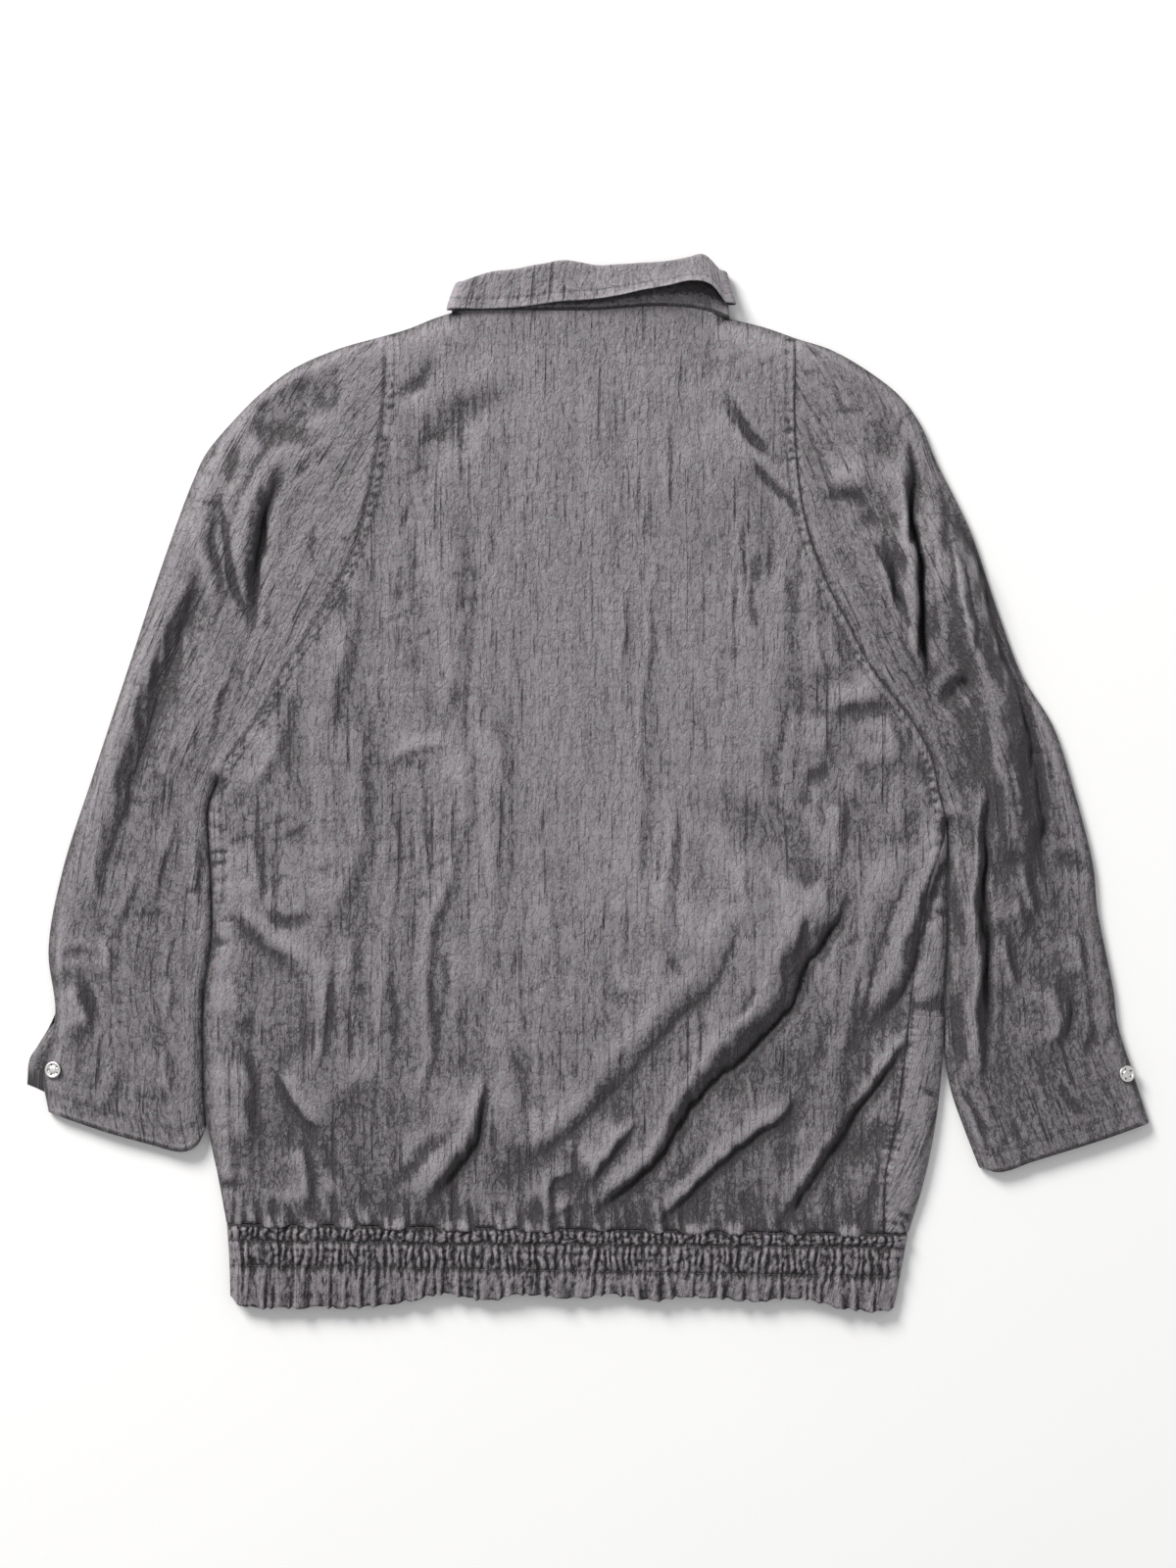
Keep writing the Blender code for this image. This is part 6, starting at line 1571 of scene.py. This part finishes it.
class Shading:
    """A material and short ways to add nodes to it. A node's value is a number, colour or output."""

    def __init__(self, name, **finish):
        self.material = bpy.data.materials.new(name)
        self.material.use_nodes = True
        self.nodes = self.material.node_tree.nodes
        self.shader = self.nodes["Principled BSDF"]
        self.normal = None
        for socket, value in finish.items():
            self.put(value, self.shader.inputs[socket])

    def put(self, value, socket):
        if isinstance(value, (float, tuple)):
            socket.default_value = value
        else:
            self.material.node_tree.links.new(value, socket)

    def node(self, kind, **settings):
        node = self.nodes.new("ShaderNode" + kind)
        for name, value in settings.items():
            setattr(node, name, value)
        return node

    def place(self):
        return self.node("TexCoord").outputs["Object"]

    def attribute(self, name):
        return self.node("Attribute", attribute_name=name).outputs["Fac"]

    def noise(self, source, across, along_grain, detail, roughness=0.5):
        """Noise stretched along the cloth's grain: sizes are in metres."""
        mapping = self.node("Mapping")
        mapping.inputs["Scale"].default_value = (1.0 / across, 1.0 / along_grain, 1.0)
        texture = self.node("TexNoise")
        for socket, value in (("Scale", 1.0), ("Detail", detail), ("Roughness", roughness)):
            texture.inputs[socket].default_value = value
        self.put(source, mapping.inputs["Vector"])
        self.put(mapping.outputs["Vector"], texture.inputs["Vector"])
        return texture.outputs["Fac"]

    def scaled(self, value, low, high, to_low=0.0, to_high=1.0):
        node = self.node("MapRange", interpolation_type="SMOOTHSTEP")
        ends = {"From Min": low, "From Max": high, "To Min": to_low, "To Max": to_high}
        for socket, number in ends.items():
            node.inputs[socket].default_value = number
        self.put(value, node.inputs["Value"])
        return node.outputs["Result"]

    def maths(self, operation, a, b=0.0):
        node = self.node("Math", operation=operation)
        for socket, value in zip(node.inputs, (a, b)):
            self.put(value, socket)
        return node.outputs["Value"]

    def total(self, *values):
        result = values[0]
        for value in values[1:]:
            result = self.maths("ADD", result, value)
        return result

    def mixed(self, factor, a, b):
        node = self.node("Mix", data_type="RGBA")
        self.put(factor, node.inputs["Factor"])
        self.put(a, node.inputs[6])
        self.put(b, node.inputs[7])
        return node.outputs[2]

    def bump(self, height, distance, strength=1.0):
        """Adds a layer of bumps. A negative distance turns them into dents."""
        node = self.node("Bump", invert=distance < 0.0)
        node.inputs["Distance"].default_value = abs(distance)
        node.inputs["Strength"].default_value = strength
        self.put(height, node.inputs["Height"])
        if self.normal is not None:
            self.put(self.normal, node.inputs["Normal"])
        self.normal = node.outputs["Normal"]

    def finish(self, colour, roughness):
        self.put(colour, self.shader.inputs["Base Color"])
        self.put(roughness, self.shader.inputs["Roughness"])
        if self.normal is not None:
            self.put(self.normal, self.shader.inputs["Normal"])
        return self.material


def cloth_material(name, colours, roughness, lowest):
    """Crinkled nylon with a soft sheen: creases and weave along the grain, with painted shade where it is
    hollow or steep.
    roughness is the middle of its range, and lowest the painted shading value at which the painted shade
    colour is full."""
    look = Shading(name, **CLOTH_FINISH)
    uv = look.node("UVMap", uv_map="grain").outputs["UV"]
    crest = look.attribute("crest")
    streaks, weave, speckle, bands, clouds = (
        look.noise(uv, *sizes) for sizes in (STREAKS, WEAVE, SPECKLE, BANDS, CLOUDS))
    crumple = look.maths("ABSOLUTE", look.maths("SUBTRACT", look.noise(uv, *CRUMPLE), 0.5))
    crumple = look.scaled(crumple, 0.0, 0.075, 1.0, 0.0)
    # Share of painted light against painted shade, taken from the painted shading
    lit_share = look.scaled(crest, lowest, 0.5)
    strokes = [look.scaled(look.noise(uv, wide, long, 1.5), low, high, 1.0, 0.0)
               for wide, long, low, high, _, _, _ in STROKES]
    # Painted shade in the strokes' creases and in the crumple's lines, more of it away from painted crests
    lines = look.total(*(look.maths("MULTIPLY", stroke, row[4]) for stroke, row in zip(strokes, STROKES)),
                       look.maths("MULTIPLY", crumple, look.scaled(lit_share, 0.35, 0.85, 0.30, 0.10)))
    place = look.total(look.maths("SUBTRACT", lit_share, lines),
                       look.scaled(bands, 0.4, 0.58, -0.09, 0.03),
                       look.scaled(streaks, 0.3, 0.7, -0.09, 0.09),
                       look.scaled(weave, 0.25, 0.75, -0.24, 0.24),
                       look.scaled(speckle, 0.3, 0.7, -0.15, 0.15))
    crest_colour, cast_colour, painted_shade_colour = colours
    crest_tone = look.mixed(look.scaled(speckle, 0.38, 0.62), crest_colour, cast_colour)
    # Painted shade colour in hollows and on steep faces, painted light colour on crests
    colour = look.mixed(place, painted_shade_colour, crest_tone)
    # Painted shadow: near-black where the painted shading is lowest, in the collar's gap
    colour = look.mixed(look.scaled(crest, -3.9, -2.0, 1.0, 0.0), colour, PAINTED_SHADOW_COLOUR)
    look.bump(crumple, -0.0009, 0.5)
    look.bump(streaks, 0.0013, 0.45)
    for stroke, row in zip(strokes, STROKES):
        look.bump(stroke, *row[5:])
    look.bump(weave, 0.00020, 0.5)
    return look.finish(colour, look.scaled(clouds, 0.3, 0.7, roughness - 0.05, roughness + 0.07))


def metal_material():
    """Worn nickel, with a painted dark reflection along the rim and painted shade in the prongs' dents."""
    look = Shading("snap_nickel", Metallic=1.0)
    wear = look.noise(look.place(), 0.0012, 0.0012, 4.0, 0.7)
    colour = look.mixed(look.attribute("painted_dark"), look.mixed(wear, *METAL_COLOURS), PAINTED_DARK_COLOUR)
    return look.finish(colour, look.scaled(wear, 0.3, 0.7, 0.3, 0.5))


def thread_material():
    """Twisted polyester thread in the cloth's colour."""
    look = Shading("thread")
    twist = look.noise(look.place(), 0.0004, 0.0004, 1.0)
    look.bump(twist, 0.0001)
    return look.finish(look.mixed(twist, *THREAD_COLOURS), 0.6)


def floor_material():
    look = Shading("pale_floor")
    return look.finish(look.mixed(look.noise(look.place(), 0.4, 0.4, 2.0), *FLOOR_COLOURS), 0.9)


# --- setting ------------------------------------------------------------------------------------

CAMERA_HEIGHT = 3.0
SENSOR_WIDTH = 36.0
FAR_CLIP = 20.0
FRAME_HEIGHT = 1.152
FRAME_CENTRE_X = 0.00108
CLOTH_LEVEL = 0.009
# Disk lights aimed at the origin: place, size, energy and colour
LIGHTS = {
    "key": ((-2.6, 3.2, 2.9), 2.2, 280.0, (1.0, 0.99, 0.975)),
    "fill": ((1.8, -1.2, 2.6), 2.4, 6.0, (0.97, 0.985, 1.0)),
}
SKY_STRENGTH = 0.45
FLOOR_HALF = 6.0
FLOOR_LEVEL = -0.0002


def make_setting():
    scene = bpy.context.scene
    data = bpy.data.cameras.new("camera")
    data.sensor_width = SENSOR_WIDTH
    data.lens = SENSOR_WIDTH * CAMERA_HEIGHT / FRAME_HEIGHT
    data.clip_end = FAR_CLIP
    camera = bpy.data.objects.new("camera", data)
    camera.location = (FRAME_CENTRE_X, 0.0, CAMERA_HEIGHT + CLOTH_LEVEL)
    scene.collection.objects.link(camera)
    scene.camera = camera
    for name, (place, size, energy, colour) in LIGHTS.items():
        data = bpy.data.lights.new(name, "AREA")
        data.shape = "DISK"
        data.size = size
        data.energy = energy
        data.color = colour
        light = bpy.data.objects.new(name, data)
        light.location = place
        light.rotation_euler = (-Vector(place)).to_track_quat("-Z", "Y").to_euler()
        scene.collection.objects.link(light)
    world = bpy.data.worlds.new("studio")
    world.use_nodes = True
    background = world.node_tree.nodes["Background"]
    background.inputs["Color"].default_value = (1.0, 1.0, 1.0, 1.0)
    background.inputs["Strength"].default_value = SKY_STRENGTH
    scene.world = world
    scene.view_settings.view_transform = "Standard"
    mesh = bpy.data.meshes.new("floor")
    corners = [(-1.0, -1.0), (1.0, -1.0), (1.0, 1.0), (-1.0, 1.0)]
    mesh.from_pydata([(a * FLOOR_HALF, b * FLOOR_HALF, FLOOR_LEVEL) for a, b in corners], [], [(0, 1, 2, 3)])
    finish_mesh(mesh, "floor", floor_material())


# --- dressing the frame -------------------------------------------------------------------------

FRONT_SNAPS = 6
ARMHOLE_STITCHES = {"shares": (0.03, 0.985), "points": 200}
CUFF_STITCH_ENDS = 6
PLACKET = {"rows": (5.0, 28.0), "top": 288.0}


def place_piece(piece, nodes=()):
    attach(piece, "root")
    if nodes:
        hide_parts(*nodes)
    return piece


def cuff_line(side, middle):
    """Plan line of a cuff's hem stitches."""
    x, y, _, _, below = sleeve_plan(side, middle)
    row = int(np.argmin(np.abs((1.0 - below) * CUFF_LENGTH[side] - CUFF_HEM)))
    shown = slice(CUFF_STITCH_ENDS, -CUFF_STITCH_ENDS)
    return np.stack([x[row, shown], y[row, shown]], axis=1)


def armhole_stitch(side):
    """Plan line of the topstitch beside an armhole, on the body."""
    line = along(ARMHOLE_LINE[side], np.linspace(*ARMHOLE_STITCHES["shares"], ARMHOLE_STITCHES["points"]))
    return line + (-TOPSTITCH if side == "left" else TOPSTITCH) * leftward(line)


def sew(pieces, thread):
    """Every row of topstitching that shows, from above and from below."""
    def rows(name, lines, piece, from_above=True):
        lines = [np.array(line) for line in lines]
        place_piece(make_stitches(name, lines, [pieces[piece]], thread, from_above))

    rows("armhole_stitches", [armhole_stitch(side) for side in SIDES], "back")
    rows("collar_stitches", [pieces["collar_line"]], "collar")
    band = [[(WAIST_LEFT_X + 5.0, BAND_LINES[name][0]), (WAIST_RIGHT_X - 9.0, BAND_LINES[name][1])]
            for name in ("first", "second")]
    rows("waist_stitches", band, "band")
    rows("waist_stitches_under", band, "band", False)
    for side in SIDES:
        rows("cuff_stitches_" + side, [cuff_line(side, GRID["sleeve_top"])], "sleeve_" + side)
        rows("cuff_stitches_under_" + side, [cuff_line(side, GRID["sleeve_under"])], "sleeve_" + side, False)
    edge = CENTRE_X + OVERLAP
    placket = [[(edge - inset, WAIST_Y + 6.0), (edge - inset, PLACKET["top"])] for inset in PLACKET["rows"]]
    rows("front_stitches_left", placket + [armhole_stitch("left")], "front_left", False)
    rows("front_stitches_right", [armhole_stitch("right")], "front_right", False)
    hem = POCKET_MOUTH_Y - POCKET_HEM + 2.0
    inner, outer = LEFT_POCKET["inner_x"] - 2.0, LEFT_POCKET["outer_x"] + 2.0
    pocket = [[(x, WAIST_Y + 4.0), (x, POCKET_MOUTH_Y - 2.0)] for x in (inner, outer)]
    rows("pocket_stitches_left", pocket + [[(outer, hem), (inner, hem)]], "pocket_left", False)
    rows("pocket_stitches_right", [[(256.0 - POCKET_WIDTH, hem), (258.0, hem)]], "pocket_right", False)
    lap = [(seam_x(hem) + 3.0, hem), (side_x("right", hem) - 3.0, hem)]
    rows("pocket_stitches_top", [lap], "pocket_right")


def main():
    make_setting()
    cloth = cloth_material("crinkled_nylon", CLOTH_COLOURS, 0.54, -1.6)
    band_cloth = cloth_material("gathered_nylon", BAND_COLOURS, 0.56, -1.15)
    metal = metal_material()
    thread = thread_material()
    pieces = {"back": place_piece(make_back(cloth), ["back"])}
    for side in SIDES:
        for node, make in (("front_", make_front), ("sleeve_", make_sleeve), ("pocket_", make_pocket)):
            pieces[node + side] = place_piece(make(side, cloth), [node + side])
        snap = make_snap("cuff_snap_" + side, "snap_cuff_" + side, metal, CUFF_SNAP_LIFT)
        place_piece(snap, ["snap_cuff_" + side])
    pieces["collar"], pieces["collar_line"] = make_collar(cloth)
    place_piece(pieces["collar"], ["collar"])
    pieces["band"] = place_piece(make_waistband(band_cloth), ["waistband"])
    for k in range(1, FRONT_SNAPS + 1):
        node = "snap_front_%d" % k
        place_piece(make_snap("front_snap_%d" % k, node, metal), [node])
    sew(pieces, thread)


main()
